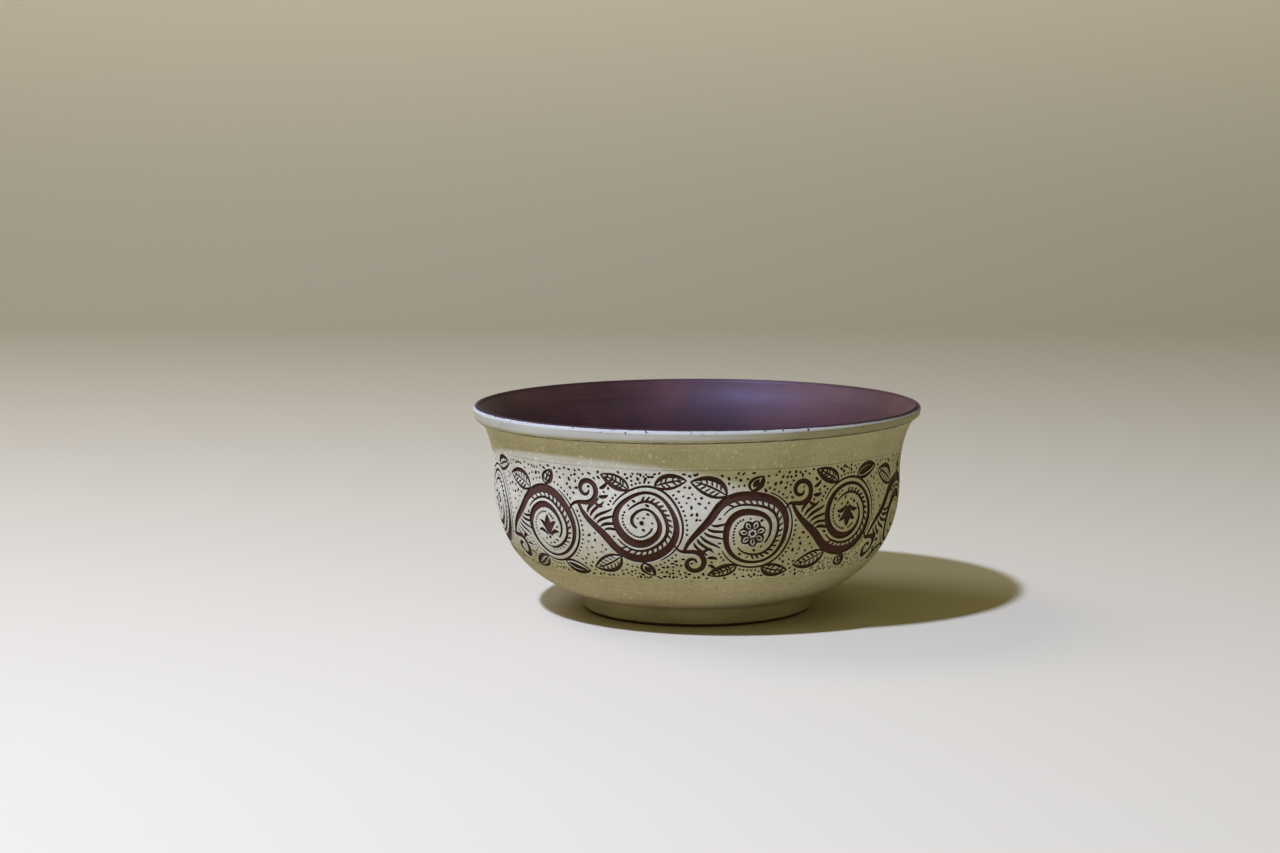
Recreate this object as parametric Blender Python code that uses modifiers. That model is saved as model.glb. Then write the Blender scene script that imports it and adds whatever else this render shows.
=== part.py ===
"""Slip-cut clay bowl: a thrown bowl on a luted foot ring, with a scroll frieze cut through its slip.

The dark clay bowl carries a thin coat of pale slip outside. Scored lines part the coat into a lip
band, a neck, a frieze, a belly and a foot coat. A running vine is cut through the frieze down to
the clay. Nothing on the bowl moves.
"""

import bisect
import math

import bmesh
import bpy

# Overall form, in metres, measured on the finished outside
BOWL_HEIGHT = 0.0600
RIM_RADIUS = 0.0650
WAIST_RADIUS = 0.0590
WAIST_HEIGHT = 0.0390
FLARE_POWER = 2.45
BELLY_POWER = 2.3

# Clay walls
WALL = 0.0036
FLOOR_THICKNESS = 0.0042
LIP_THICKNESS = 0.0016

# Foot ring, and where the belly curve would end under it
FOOT_RADIUS = 0.0333
FOOT_HEIGHT = 0.0048
FOOT_WIDTH = 0.0055
FOOT_EDGE_RADIUS = 0.0009
BELLY_TUCK = 0.0133
BELLY_SINK = 0.0010

# Layers: the slip coat, the bond line under it, and the slip that lutes the foot on
SLIP_THICKNESS = 0.0006
BOND_LINE = 0.0003
LUTE_THICKNESS = 0.0004
LUTE_SETBACK = 0.0005

# Zones of the slip coat, from the lip down
LIP_BARE = 0.0007
LIP_BAND_HEIGHT = 0.0032
LIP_BAND_STEP = 0.0004
LIP_SHOULDER = 0.0009
LIP_OVERHANG = 0.0011
ROLL_POWER = 1.8
NECK_HEIGHT = 0.0078
BELLY_COAT_HEIGHT = 0.0120
FOOT_GROOVE = 0.0005
FOOT_BARE = 0.0010
SCORE_WIDTH = 0.0004

# Running vine of the frieze, drawn along and up the wall from mid-frieze
SCROLL_COUNT = 12
CURL_EVERY = 3
VINE_REACH = 0.0116
VINE_EYE = 0.0047
CURL_EYE = 0.0020
VINE_DROP = 0.0016
VINE_START = math.radians(150.0)
VINE_TURN = math.radians(545.0)
CURL_TURN = math.radians(735.0)
STEM_ROOT = (0.0116, -0.0066)
STEM_RISE = (0.0020, 0.0052)
STEM_EASE = 0.0055
STROKE_WIDTH = 0.0022
STROKE_TIP = 0.0007
LEAF_LENGTH = 0.0088
LEAF_WIDTH = 0.0034
LEAF_GAP = 0.0024
UPPER_LEAF = (math.radians(124.0), math.radians(146.0))
LOWER_LEAF = (math.radians(-112.0), math.radians(-150.0))
DRAWING_HALF_HEIGHT = 0.0168
DRAWING_PITCH = 0.0300
CUT_CLEARANCE = 0.0003

# Fineness of the facets and of the strokes
TURN_STEPS = 48
ARC_STEPS = 3
INNER_BELLY_RINGS = 7
INNER_NECK_RINGS = 5
NECK_RINGS = 5
BELLY_RINGS = 7
LIP_ZONE_RINGS = 3
ROLL_STEPS = 3
NECK_ZONE_RINGS = 4
FRIEZE_ZONE_RINGS = 7
BELLY_ZONE_RINGS = 5
STEM_STEPS = 4
VINE_STEP = math.radians(27.0)
LEAF_STEPS = 4
WALL_SAMPLES = 48
LIP_ROUNDS = 12
SLOPE_STEP = 0.001

# Heights and radii that follow from the sizes above
LIP_BAND_TOP = BOWL_HEIGHT - LIP_BARE
LIP_BAND_FOOT = LIP_BAND_TOP - LIP_BAND_HEIGHT
ROLL_HEIGHT = LIP_BAND_TOP - LIP_SHOULDER
FLARE_TOP_RADIUS = RIM_RADIUS - LIP_BAND_STEP
FRIEZE_TOP = LIP_BAND_FOOT - NECK_HEIGHT
FRIEZE_FOOT = FOOT_HEIGHT + BELLY_COAT_HEIGHT
BELLY_FOOT = FOOT_HEIGHT + FOOT_GROOVE
PAD_HEIGHT = FOOT_HEIGHT + LUTE_THICKNESS
FLOOR_HEIGHT = PAD_HEIGHT + FLOOR_THICKNESS
COAT_DEPTH = SLIP_THICKNESS + BOND_LINE
FOOT_CLAY_RADIUS = FOOT_RADIUS - COAT_DEPTH
FOOT_INNER_RADIUS = FOOT_CLAY_RADIUS - FOOT_WIDTH
BELLY_AXIS_RADIUS = FOOT_RADIUS - BELLY_TUCK
BELLY_LOW = FOOT_HEIGHT - BELLY_SINK

SLIP_COLOUR = (0.56, 0.53, 0.43, 1.0)
CLAY_COLOUR = (0.105, 0.045, 0.032, 1.0)
LUTE_COLOUR = (0.20, 0.12, 0.085, 1.0)


def clear_scene():
    """Removes whatever the scene held before."""
    for old in list(bpy.data.objects):
        bpy.data.objects.remove(old, do_unlink=True)


def new_collection(name, parent):
    """Makes a collection under another one."""
    collection = bpy.data.collections.new(name)
    parent.children.link(collection)
    return collection


def finish(name, colour, roughness):
    """Makes a plain material for one sub-part."""
    material = bpy.data.materials.new(name)
    material.use_nodes = True
    shader = material.node_tree.nodes["Principled BSDF"]
    shader.inputs["Base Color"].default_value = colour
    shader.inputs["Roughness"].default_value = roughness
    shader.inputs["Metallic"].default_value = 0.0
    return material


def belly_point(station, waist_radius, axis_radius, low):
    """Point of a rounded belly, from the waist at station 0 to its lowest at a quarter turn."""
    reach = math.cos(station) ** (2.0 / BELLY_POWER)
    drop = math.sin(station) ** (2.0 / BELLY_POWER)
    radius = axis_radius + (waist_radius - axis_radius) * reach
    return radius, WAIST_HEIGHT - (WAIST_HEIGHT - low) * drop


def flare_point(share, waist_radius, top_radius, top_height):
    """Point of a flared neck, from the waist at share 0 to its top at share 1."""
    radius = waist_radius + (top_radius - waist_radius) * share ** FLARE_POWER
    return radius, WAIST_HEIGHT + (top_height - WAIST_HEIGHT) * share


def outside(station):
    """Point of the finished outside: the flare at stations -1 to 0, the belly from 0 down."""
    if station < 0.0:
        return flare_point(-station, WAIST_RADIUS, FLARE_TOP_RADIUS, LIP_BAND_TOP)
    return belly_point(station, WAIST_RADIUS, BELLY_AXIS_RADIUS, BELLY_LOW)


def station_at(height):
    """Station of the finished outside at a height."""
    if height > WAIST_HEIGHT:
        return -(height - WAIST_HEIGHT) / (LIP_BAND_TOP - WAIST_HEIGHT)
    drop = (WAIST_HEIGHT - height) / (WAIST_HEIGHT - BELLY_LOW)
    return math.asin(drop ** (BELLY_POWER / 2.0))


def below_surface(station, depth):
    """Point at a depth below the finished outside, square to it."""
    radius, height = outside(station)
    radius_above, height_above = outside(station - SLOPE_STEP)
    radius_below, height_below = outside(station + SLOPE_STEP)
    along_radius = radius_below - radius_above
    along_height = height_below - height_above
    length = math.hypot(along_radius, along_height)
    return radius + depth * along_height / length, height - depth * along_radius / length


def stations(upper, lower, count):
    """Evenly spread stations from an upper to a lower height."""
    first = station_at(upper)
    last = station_at(lower)
    return [first + (last - first) * i / (count - 1) for i in range(count)]


def arc(centre, radius, start, end):
    """Points of an arc in the profile plane, with its angles in degrees."""
    points = []
    for i in range(ARC_STEPS + 1):
        angle = math.radians(start + (end - start) * i / ARC_STEPS)
        points.append((centre[0] + radius * math.cos(angle), centre[1] + radius * math.sin(angle)))
    return points


def turned(name, outline, closed, material, collection):
    """Turns an outline of (radius, height) points about the bowl's axis."""
    count = len(outline)
    edges = [(i, i + 1) for i in range(count - 1)]
    if closed:
        edges.append((count - 1, 0))
    mesh = bpy.data.meshes.new(name)
    mesh.from_pydata([(radius, 0.0, height) for radius, height in outline], edges, [])
    mesh.materials.append(material)
    piece = bpy.data.objects.new(name, mesh)
    collection.objects.link(piece)
    screw = piece.modifiers.new("turning", "SCREW")
    screw.axis = "Z"
    screw.angle = math.tau
    screw.steps = TURN_STEPS
    screw.render_steps = TURN_STEPS
    screw.use_merge_vertices = True
    screw.merge_threshold = 0.00001
    screw.use_smooth_shade = True
    return piece


def lip_station(bead):
    """Station under which a bead of the lip touches the clay's outside and the bowl's full height."""
    height = LIP_BAND_TOP
    for _ in range(LIP_ROUNDS):
        height += BOWL_HEIGHT - bead - below_surface(station_at(height), COAT_DEPTH + bead)[1]
    return station_at(height)


def clay_bowl(collection):
    """The thrown bowl: floor, wall and a thin flared lip, with a flat pad for the foot."""
    bead = LIP_THICKNESS / 2.0
    lip = lip_station(bead)
    bead_centre = below_surface(lip, COAT_DEPTH + bead)
    touch = below_surface(lip, COAT_DEPTH)
    lean = math.degrees(math.atan2(touch[1] - bead_centre[1], touch[0] - bead_centre[0]))
    inner_waist = WAIST_RADIUS - COAT_DEPTH - WALL
    outline = [(0.0, FLOOR_HEIGHT)]
    for i in range(INNER_BELLY_RINGS, 0, -1):
        station = math.pi / 2.0 * i / INNER_BELLY_RINGS
        outline.append(belly_point(station, inner_waist, BELLY_AXIS_RADIUS, FLOOR_HEIGHT))
    for i in range(INNER_NECK_RINGS):
        share = i / INNER_NECK_RINGS
        outline.append(flare_point(share, inner_waist, bead_centre[0] - bead, bead_centre[1]))
    outline += arc(bead_centre, bead, 180.0, 90.0)[:-1] + arc(bead_centre, bead, 90.0, lean)
    neck = stations(outside(lip)[1], WAIST_HEIGHT, NECK_RINGS)
    belly = stations(WAIST_HEIGHT, BELLY_FOOT, BELLY_RINGS)
    outline += [below_surface(s, COAT_DEPTH) for s in neck[1:] + belly[1:]]
    outline += [(FOOT_CLAY_RADIUS, PAD_HEIGHT), (0.0, PAD_HEIGHT)]
    material = finish("burnished_clay", CLAY_COLOUR, 0.45)
    return turned("clay_bowl", outline, False, material, collection)


def foot_ring(collection):
    """The clay ring that the bowl stands on, with rounded standing edges."""
    edge = FOOT_EDGE_RADIUS
    outline = [(FOOT_CLAY_RADIUS, FOOT_HEIGHT)]
    outline += arc((FOOT_CLAY_RADIUS - edge, edge), edge, 0.0, -90.0)
    outline += arc((FOOT_INNER_RADIUS + edge, edge), edge, -90.0, -180.0)
    outline += [(FOOT_INNER_RADIUS, FOOT_HEIGHT)]
    material = finish("foot_clay", CLAY_COLOUR, 0.7)
    return turned("foot_ring", outline, True, material, collection)


def foot_luting_seam(collection):
    """The slip joint that holds the foot ring to the bowl's pad."""
    outer = FOOT_CLAY_RADIUS - LUTE_SETBACK
    inner = FOOT_INNER_RADIUS + LUTE_SETBACK
    outline = [(outer, PAD_HEIGHT), (outer, FOOT_HEIGHT), (inner, FOOT_HEIGHT), (inner, PAD_HEIGHT)]
    material = finish("luting_slip", LUTE_COLOUR, 0.9)
    return turned("foot_luting_seam", outline, True, material, collection)


def slip_material(name):
    """The pale slip, as one finish for each zone."""
    return finish(name, SLIP_COLOUR, 0.85)


def slip_zone(name, upper, lower, count, collection):
    """A zone of the slip coat between two heights."""
    places = stations(upper, lower, count)
    outline = [outside(s) for s in places] + [below_surface(s, SLIP_THICKNESS) for s in reversed(places)]
    return turned(name, outline, True, slip_material(name), collection)


def lip_slip_band(collection):
    """The band under the lip: a soft roll, widest near its top, that overhangs the neck."""
    foot = LIP_BAND_FOOT + SCORE_WIDTH
    tuck = RIM_RADIUS - outside(station_at(foot))[0] - LIP_OVERHANG
    outline = []
    for i in range(ROLL_STEPS):
        rise = 1.0 - i / ROLL_STEPS
        outline.append((RIM_RADIUS - LIP_BAND_STEP * rise**2, ROLL_HEIGHT + LIP_SHOULDER * rise))
    for i in range(ROLL_STEPS + 1):
        drop = i / ROLL_STEPS
        outline.append((RIM_RADIUS - tuck * drop**ROLL_POWER, ROLL_HEIGHT - (ROLL_HEIGHT - foot) * drop))
    bed = stations(LIP_BAND_TOP, foot, LIP_ZONE_RINGS)
    outline += [below_surface(s, SLIP_THICKNESS) for s in reversed(bed)]
    return turned("lip_slip_band", outline, True, slip_material("lip_slip_band"), collection)


def foot_slip_coat(collection):
    """The slip on the foot's outer face, wiped off along the standing edge."""
    inner = FOOT_RADIUS - SLIP_THICKNESS
    rounding = SLIP_THICKNESS / 2.0
    foot = max(FOOT_BARE, FOOT_EDGE_RADIUS)
    outline = [
        (FOOT_RADIUS - rounding, FOOT_HEIGHT),
        (FOOT_RADIUS, FOOT_HEIGHT - rounding),
        (FOOT_RADIUS, foot + rounding),
        (FOOT_RADIUS - rounding, foot),
        (inner, foot),
        (inner, FOOT_HEIGHT),
    ]
    return turned("foot_slip_coat", outline, True, slip_material("foot_slip_coat"), collection)


class FriezeWall:
    """The frieze unrolled: distances along and up the wall, measured from its middle."""

    def __init__(self):
        """Measures the wall from the frieze's foot up."""
        places = stations(FRIEZE_FOOT, FRIEZE_TOP, WALL_SAMPLES)
        self.places = places
        self.lengths = [0.0]
        for lower, upper in zip(places, places[1:]):
            self.lengths.append(self.lengths[-1] + math.dist(outside(lower), outside(upper)))
        self.half_height = self.lengths[-1] / 2.0
        self.radius = outside(self.place_at(0.0))[0]
        self.pitch = math.tau * self.radius / SCROLL_COUNT

    def place_at(self, up):
        """Station of the wall at a distance up from mid-frieze."""
        length = up + self.half_height
        upper = min(max(bisect.bisect(self.lengths, length), 1), len(self.lengths) - 1)
        span = self.lengths[upper] - self.lengths[upper - 1]
        share = (length - self.lengths[upper - 1]) / span
        return self.places[upper - 1] + (self.places[upper] - self.places[upper - 1]) * share

    def spot(self, along, up, depth):
        """Place in space of a point of the drawing, at a depth below the finished outside."""
        radius, height = below_surface(self.place_at(up), depth)
        angle = along / self.radius
        return radius * math.sin(angle), -radius * math.cos(angle), height


def volute_point(angle, eye, turn, offset):
    """Point on a volute at an angle, or beside it by an offset."""
    share = (VINE_START - angle) / turn
    radius = VINE_REACH + (eye - VINE_REACH) * share + offset
    return radius * math.cos(angle), radius * math.sin(angle) - VINE_DROP


def vine_path(pitch, eye, turn):
    """Points of one vine stroke: a stem from the scroll before, wound into a volute."""
    start = volute_point(VINE_START, eye, turn, 0.0)
    handle = (start[0] - STEM_EASE * math.sin(VINE_START), start[1] + STEM_EASE * math.cos(VINE_START))
    root = (STEM_ROOT[0] - pitch, STEM_ROOT[1])
    rise = (root[0] + STEM_RISE[0], root[1] + STEM_RISE[1])
    path = []
    for i in range(STEM_STEPS):
        t = i / STEM_STEPS
        weights = ((1 - t) ** 3, 3 * t * (1 - t) ** 2, 3 * t**2 * (1 - t), t**3)
        handles = (root, rise, handle, start)
        path.append(tuple(sum(w * h[axis] for w, h in zip(weights, handles)) for axis in (0, 1)))
    steps = round(turn / VINE_STEP)
    for i in range(steps + 1):
        path.append(volute_point(VINE_START - turn * i / steps, eye, turn, 0.0))
    return path


def leaf_path(leaf, eye, turn):
    """Points along the middle of one leaf, which grows beside the volute."""
    place, direction = leaf
    base = volute_point(place, eye, turn, LEAF_GAP)
    path = []
    for i in range(LEAF_STEPS + 1):
        run = LEAF_LENGTH * i / LEAF_STEPS
        path.append((base[0] + run * math.cos(direction), base[1] + run * math.sin(direction)))
    return path


def swelling(count, tip, middle):
    """Widths of a stroke that swells from its tips to its middle."""
    return [tip + (middle - tip) * math.sin(math.pi * i / (count - 1)) for i in range(count)]


def add_stroke(cutter, wall, path, widths):
    """Adds a closed ribbon to a cutter, which follows a path on the wall and goes through the slip."""
    rings = []
    for i, (along, up) in enumerate(path):
        before = path[max(i - 1, 0)]
        after = path[min(i + 1, len(path) - 1)]
        length = math.dist(before, after)
        left = ((before[1] - after[1]) / length, (after[0] - before[0]) / length)
        ring = []
        for side, depth in ((1, 0), (-1, 0), (-1, 1), (1, 1)):
            half = side * widths[i] / 2.0
            deep = SLIP_THICKNESS * depth + CUT_CLEARANCE * (2 * depth - 1)
            place = wall.spot(along + left[0] * half, up + left[1] * half, deep)
            ring.append(cutter.verts.new(place))
        rings.append(ring)
    for ring, following in zip(rings, rings[1:]):
        for i in range(4):
            j = (i + 1) % 4
            cutter.faces.new((ring[i], ring[j], following[j], following[i]))
    cutter.faces.new(rings[0][::-1])
    cutter.faces.new(rings[-1])


def frieze_cutter(collection):
    """All strokes of the running vine, every other scroll upside down, as one cutter."""
    wall = FriezeWall()
    room = min(wall.half_height / DRAWING_HALF_HEIGHT, wall.pitch / DRAWING_PITCH, 1.0)
    cutter = bmesh.new()
    for scroll in range(SCROLL_COUNT):
        eye, turn = (CURL_EYE, CURL_TURN) if scroll % CURL_EVERY == CURL_EVERY - 1 else (VINE_EYE, VINE_TURN)
        paths = [vine_path(wall.pitch / room, eye, turn)]
        paths += [leaf_path(leaf, eye, turn) for leaf in (UPPER_LEAF, LOWER_LEAF)]
        middles = [STROKE_WIDTH, LEAF_WIDTH, LEAF_WIDTH]
        turnover = 1.0 if scroll % 2 == 0 else -1.0
        start = (scroll + 0.5) * wall.pitch
        for path, middle in zip(paths, middles):
            widths = [room * width for width in swelling(len(path), STROKE_TIP, middle)]
            placed = [(start + room * along, turnover * room * up) for along, up in path]
            add_stroke(cutter, wall, placed, widths)
    bmesh.ops.recalc_face_normals(cutter, faces=cutter.faces)
    mesh = bpy.data.meshes.new("frieze_cutter")
    cutter.to_mesh(mesh)
    cutter.free()
    piece = bpy.data.objects.new("frieze_cutter", mesh)
    piece.hide_render = True
    piece.display_type = "WIRE"
    collection.objects.link(piece)
    return piece


def frieze_slip_band(parts, cutters):
    """The slip of the frieze, with the running vine cut through it."""
    half_score = SCORE_WIDTH / 2.0
    upper = FRIEZE_TOP - half_score
    lower = FRIEZE_FOOT + half_score
    band = slip_zone("frieze_slip_band", upper, lower, FRIEZE_ZONE_RINGS, parts)
    cut = band.modifiers.new("vine", "BOOLEAN")
    cut.operation = "DIFFERENCE"
    cut.solver = "EXACT"
    cut.object = frieze_cutter(cutters)
    return band


def main():
    """Builds the bowl from the clay outwards."""
    clear_scene()
    scene = bpy.context.scene.collection
    parts = new_collection("slip_cut_bowl", scene)
    cutters = new_collection("cutters", scene)
    half_score = SCORE_WIDTH / 2.0
    clay_bowl(parts)
    foot_ring(parts)
    foot_luting_seam(parts)
    lip_slip_band(parts)
    neck_foot = FRIEZE_TOP + half_score
    slip_zone("neck_slip_band", LIP_BAND_FOOT, neck_foot, NECK_ZONE_RINGS, parts)
    frieze_slip_band(parts, cutters)
    belly_top = FRIEZE_FOOT - half_score
    slip_zone("belly_slip_coat", belly_top, BELLY_FOOT, BELLY_ZONE_RINGS, parts)
    foot_slip_coat(parts)


main()
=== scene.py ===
"""Looks of a slip-cut clay bowl: burnished dark clay, pale slip and a scroll frieze cut through it."""

import logging
import math
from dataclasses import dataclass, field
from enum import Enum
from typing import Any, Iterable, Optional, Sequence, Union

import bmesh
import bpy
import numpy as np
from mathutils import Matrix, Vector
from mathutils.geometry import delaunay_2d_cdt
from mathutils.kdtree import KDTree


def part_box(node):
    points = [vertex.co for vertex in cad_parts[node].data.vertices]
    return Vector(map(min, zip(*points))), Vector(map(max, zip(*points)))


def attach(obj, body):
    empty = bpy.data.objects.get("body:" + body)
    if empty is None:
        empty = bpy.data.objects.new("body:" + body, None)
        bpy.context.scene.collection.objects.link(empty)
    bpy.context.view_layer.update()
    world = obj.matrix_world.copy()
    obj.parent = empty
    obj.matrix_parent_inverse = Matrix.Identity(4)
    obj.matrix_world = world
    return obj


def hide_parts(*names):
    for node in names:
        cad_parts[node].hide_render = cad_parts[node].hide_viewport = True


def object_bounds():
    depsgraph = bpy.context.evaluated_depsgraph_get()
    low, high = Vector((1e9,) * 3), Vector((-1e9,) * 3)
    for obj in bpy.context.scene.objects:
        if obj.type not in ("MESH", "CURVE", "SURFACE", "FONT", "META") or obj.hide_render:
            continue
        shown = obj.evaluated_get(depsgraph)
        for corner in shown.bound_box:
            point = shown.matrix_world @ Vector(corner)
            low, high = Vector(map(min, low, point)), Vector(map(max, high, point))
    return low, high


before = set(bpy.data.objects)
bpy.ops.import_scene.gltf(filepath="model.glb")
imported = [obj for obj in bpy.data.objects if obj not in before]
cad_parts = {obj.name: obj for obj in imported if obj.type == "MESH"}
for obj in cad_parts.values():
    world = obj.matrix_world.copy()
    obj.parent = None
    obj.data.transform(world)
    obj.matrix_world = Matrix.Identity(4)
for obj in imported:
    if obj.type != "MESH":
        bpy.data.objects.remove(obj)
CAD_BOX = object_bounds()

LOG = logging.getLogger("slip_cut_bowl")
MM = 0.001
BODY = "root"
SHARP = math.radians(40.0)
Triple = tuple[float, float, float]
Colour = Triple
Point = tuple[float, float]


class Zone(Enum):
    """The zones that scored lines part the slip coat into."""

    LIP = "lip"
    NECK = "neck"
    FRIEZE = "frieze"
    BELLY = "belly"
    FOOT = "foot"


class EyeMotif(Enum):
    """What fills the eye of a volute."""

    ROSETTE = 0
    PALMETTE = 1
    CURL = 2


# Form of the bowl


@dataclass(frozen=True)
class BowlForm:
    """Sizes of the bowl, measured on its finished outside.

    Lengths are in metres. The powers, lip_ease, lip_lean and lip_fullness are bare numbers that shape
    its curves.
    """

    height: float
    rim_radius: float
    foot_radius: float
    waist_radius: float = 0.0590
    waist_height: float = 0.0390
    flare_power: float = 2.45
    belly_power: float = 2.3
    wall: float = 0.0036
    floor_thickness: float = 0.0042
    lip_thickness: float = 0.0010
    foot_height: float = 0.0048
    foot_width: float = 0.0055
    foot_edge: float = 0.0009
    foot_cove: float = 0.0009
    belly_tuck: float = 0.0133
    belly_sink: float = 0.0010
    lute: float = 0.0004
    lute_setback: float = 0.0003
    lip_bare: float = 0.0007
    lip_band_height: float = 0.0029
    lip_band_step: float = 0.0004
    lip_shoulder: float = 0.0009
    lip_ease: float = 0.6
    lip_margin: float = 0.00005
    lip_lean: float = 0.22
    lip_recess: float = 0.0005
    lip_fullness: float = 8.0
    lip_score: float = 0.0003
    lip_line_rise: float = 0.0008
    lip_line_fade: float = 0.0040
    neck_cove: float = 0.0006
    neck_cove_drop: float = 0.0032
    neck_height: float = 0.0081
    belly_coat_height: float = 0.0120
    foot_groove: float = 0.0005
    foot_bare: float = 0.0010
    slip: float = 0.00045
    bedding: float = 0.00003

    @classmethod
    def from_frame(cls) -> "BowlForm":
        """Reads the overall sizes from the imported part."""
        return cls(
            height=CAD_BOX[1][2],
            rim_radius=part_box("lip_slip_band")[1].x,
            foot_radius=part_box("foot_slip_coat")[1].x,
        )

    @property
    def lip_band_top(self) -> float:
        """Height of the lip band's upper edge."""
        return self.height - self.lip_bare

    @property
    def lip_band_foot(self) -> float:
        """Height of the lip band's lower edge."""
        return self.lip_band_top - self.lip_band_height

    @property
    def roll_height(self) -> float:
        """Height at which the lip band is widest."""
        return self.lip_band_top - self.lip_shoulder / 2.0

    @property
    def lip_slip_top(self) -> float:
        """Height to which the lip band's slip is drawn up over the lip."""
        return self.roll_height + self.lip_shoulder

    @property
    def frieze_top(self) -> float:
        """Height of the upper scored line."""
        return self.lip_band_foot - self.neck_height

    @property
    def frieze_foot(self) -> float:
        """Height of the lower scored line."""
        return self.foot_height + self.belly_coat_height

    @property
    def belly_foot(self) -> float:
        """Height where the belly's slip ends above the foot."""
        return self.foot_height + self.foot_groove

    @property
    def pad_height(self) -> float:
        """Height of the flat pad that the foot ring is luted to."""
        return self.foot_height + self.lute

    @property
    def floor_height(self) -> float:
        """Height of the floor inside the bowl."""
        return self.pad_height + self.floor_thickness

    @property
    def axis_radius(self) -> float:
        """Radius at which the belly curve would reach its lowest point."""
        return self.foot_radius - self.belly_tuck

    def belly(self, station: float, waist: float, low: float) -> Point:
        """Finds a point of a rounded belly.

        Args:
            station: angle from the waist, 0, to the lowest point, a quarter turn.
            waist: radius at the waist.
            low: height of the lowest point.

        Returns:
            The point's radius and height.
        """
        reach = math.cos(station) ** (2.0 / self.belly_power)
        drop = math.sin(station) ** (2.0 / self.belly_power)
        radius = self.axis_radius + (waist - self.axis_radius) * reach
        return radius, self.waist_height - (self.waist_height - low) * drop

    def flare(self, share: float, waist: float, top_radius: float, top: float) -> Point:
        """Finds a point of a flared neck.

        Args:
            share: 0 at the waist, 1 at the top.
            waist: radius at the waist.
            top_radius: radius at the top.
            top: height of the top.

        Returns:
            The point's radius and height.
        """
        radius = waist + (top_radius - waist) * share ** self.flare_power
        return radius, self.waist_height + (top - self.waist_height) * share


class WallCurve:
    """The finished outside from the lip down to the foot, measured along the wall."""

    def __init__(self, form: BowlForm, count: int = 1600) -> None:
        """Samples the wall finely.

        Args:
            form: the bowl's sizes.
            count: samples on the neck and on the belly, each.
        """
        low = form.foot_height - form.belly_sink
        flare_top = form.rim_radius - form.lip_band_step
        share_drop = (form.waist_height - form.belly_foot) / (form.waist_height - low)
        last = math.asin(share_drop ** (form.belly_power / 2.0))
        points = [
            form.flare(share, form.waist_radius, flare_top, form.lip_band_top)
            for share in np.linspace(1.0, 0.0, count, endpoint=False)
        ]
        points += [form.belly(s, form.waist_radius, low) for s in np.linspace(0.0, last, count)]
        self.points = np.array(points)
        steps = np.diff(self.points, axis=0)
        self.along = np.concatenate([[0.0], np.cumsum(np.hypot(steps[:, 0], steps[:, 1]))])
        heading = np.gradient(self.points, axis=0)
        heading /= np.linalg.norm(heading, axis=1)[:, None]
        self.normals = np.stack([-heading[:, 1], heading[:, 0]], axis=1)

    @property
    def length(self) -> float:
        """Length of the wall from the lip to the foot."""
        return float(self.along[-1])

    def at_height(self, height: float) -> float:
        """Distance down the wall at which it reaches a height."""
        return float(np.interp(-height, -self.points[:, 1], self.along))

    def place(self, along: np.ndarray, depth: Union[float, np.ndarray] = 0.0) -> np.ndarray:
        """Finds points on or below the wall.

        Args:
            along: distances down the wall.
            depth: how far below the finished surface the points lie.

        Returns:
            An array of radii and heights.
        """
        along = np.asarray(along, float)
        columns = []
        for axis in (0, 1):
            on_wall = np.interp(along, self.along, self.points[:, axis])
            outward = np.interp(along, self.along, self.normals[:, axis])
            columns.append(on_wall - depth * outward)
        return np.stack(columns, axis=-1)


# Nodes


class Socket:
    """A value in a node tree, on which Python's operators add Math nodes."""

    def __init__(self, nodes: "NodeMaker", socket: bpy.types.NodeSocket) -> None:
        """Wraps an output socket of a tree."""
        self.nodes = nodes
        self.socket = socket

    def math(self, operation: str, *others: Any, swapped: bool = False, clamp: bool = False) -> "Socket":
        """Adds a Math node.

        Args:
            operation: the Math node's operation.
            others: the node's further values, as numbers or sockets.
            swapped: puts this value second.
            clamp: keeps the result between 0 and 1.

        Returns:
            The node's result.
        """
        values = [self, *others]
        if swapped:
            values = [others[0], self]
        settings = {"operation": operation, "use_clamp": clamp}
        return self.nodes.node("ShaderNodeMath", settings, dict(enumerate(values)))

    def __add__(self, other: Any) -> "Socket":
        """Sum."""
        return self.math("ADD", other)

    __radd__ = __add__

    def __sub__(self, other: Any) -> "Socket":
        """Difference."""
        return self.math("SUBTRACT", other)

    def __rsub__(self, other: Any) -> "Socket":
        """Difference from a number."""
        return self.math("SUBTRACT", other, swapped=True)

    def __mul__(self, other: Any) -> "Socket":
        """Product."""
        return self.math("MULTIPLY", other)

    __rmul__ = __mul__

    def __truediv__(self, other: Any) -> "Socket":
        """Quotient."""
        return self.math("DIVIDE", other)

    def __pow__(self, other: Any) -> "Socket":
        """Power."""
        return self.math("POWER", other)

    def __mod__(self, other: Any) -> "Socket":
        """Remainder."""
        return self.math("MODULO", other)

    def clamp(self) -> "Socket":
        """The value kept between 0 and 1."""
        return self.math("ADD", 0.0, clamp=True)

    def step(self, low: float, high: float) -> "Socket":
        """A smooth step from 0 at one value to 1 at another."""
        settings = {"interpolation_type": "SMOOTHSTEP", "clamp": True}
        values = {"Value": self, "From Min": low, "From Max": high, "To Min": 0.0, "To Max": 1.0}
        return self.nodes.node("ShaderNodeMapRange", settings, values)


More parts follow.
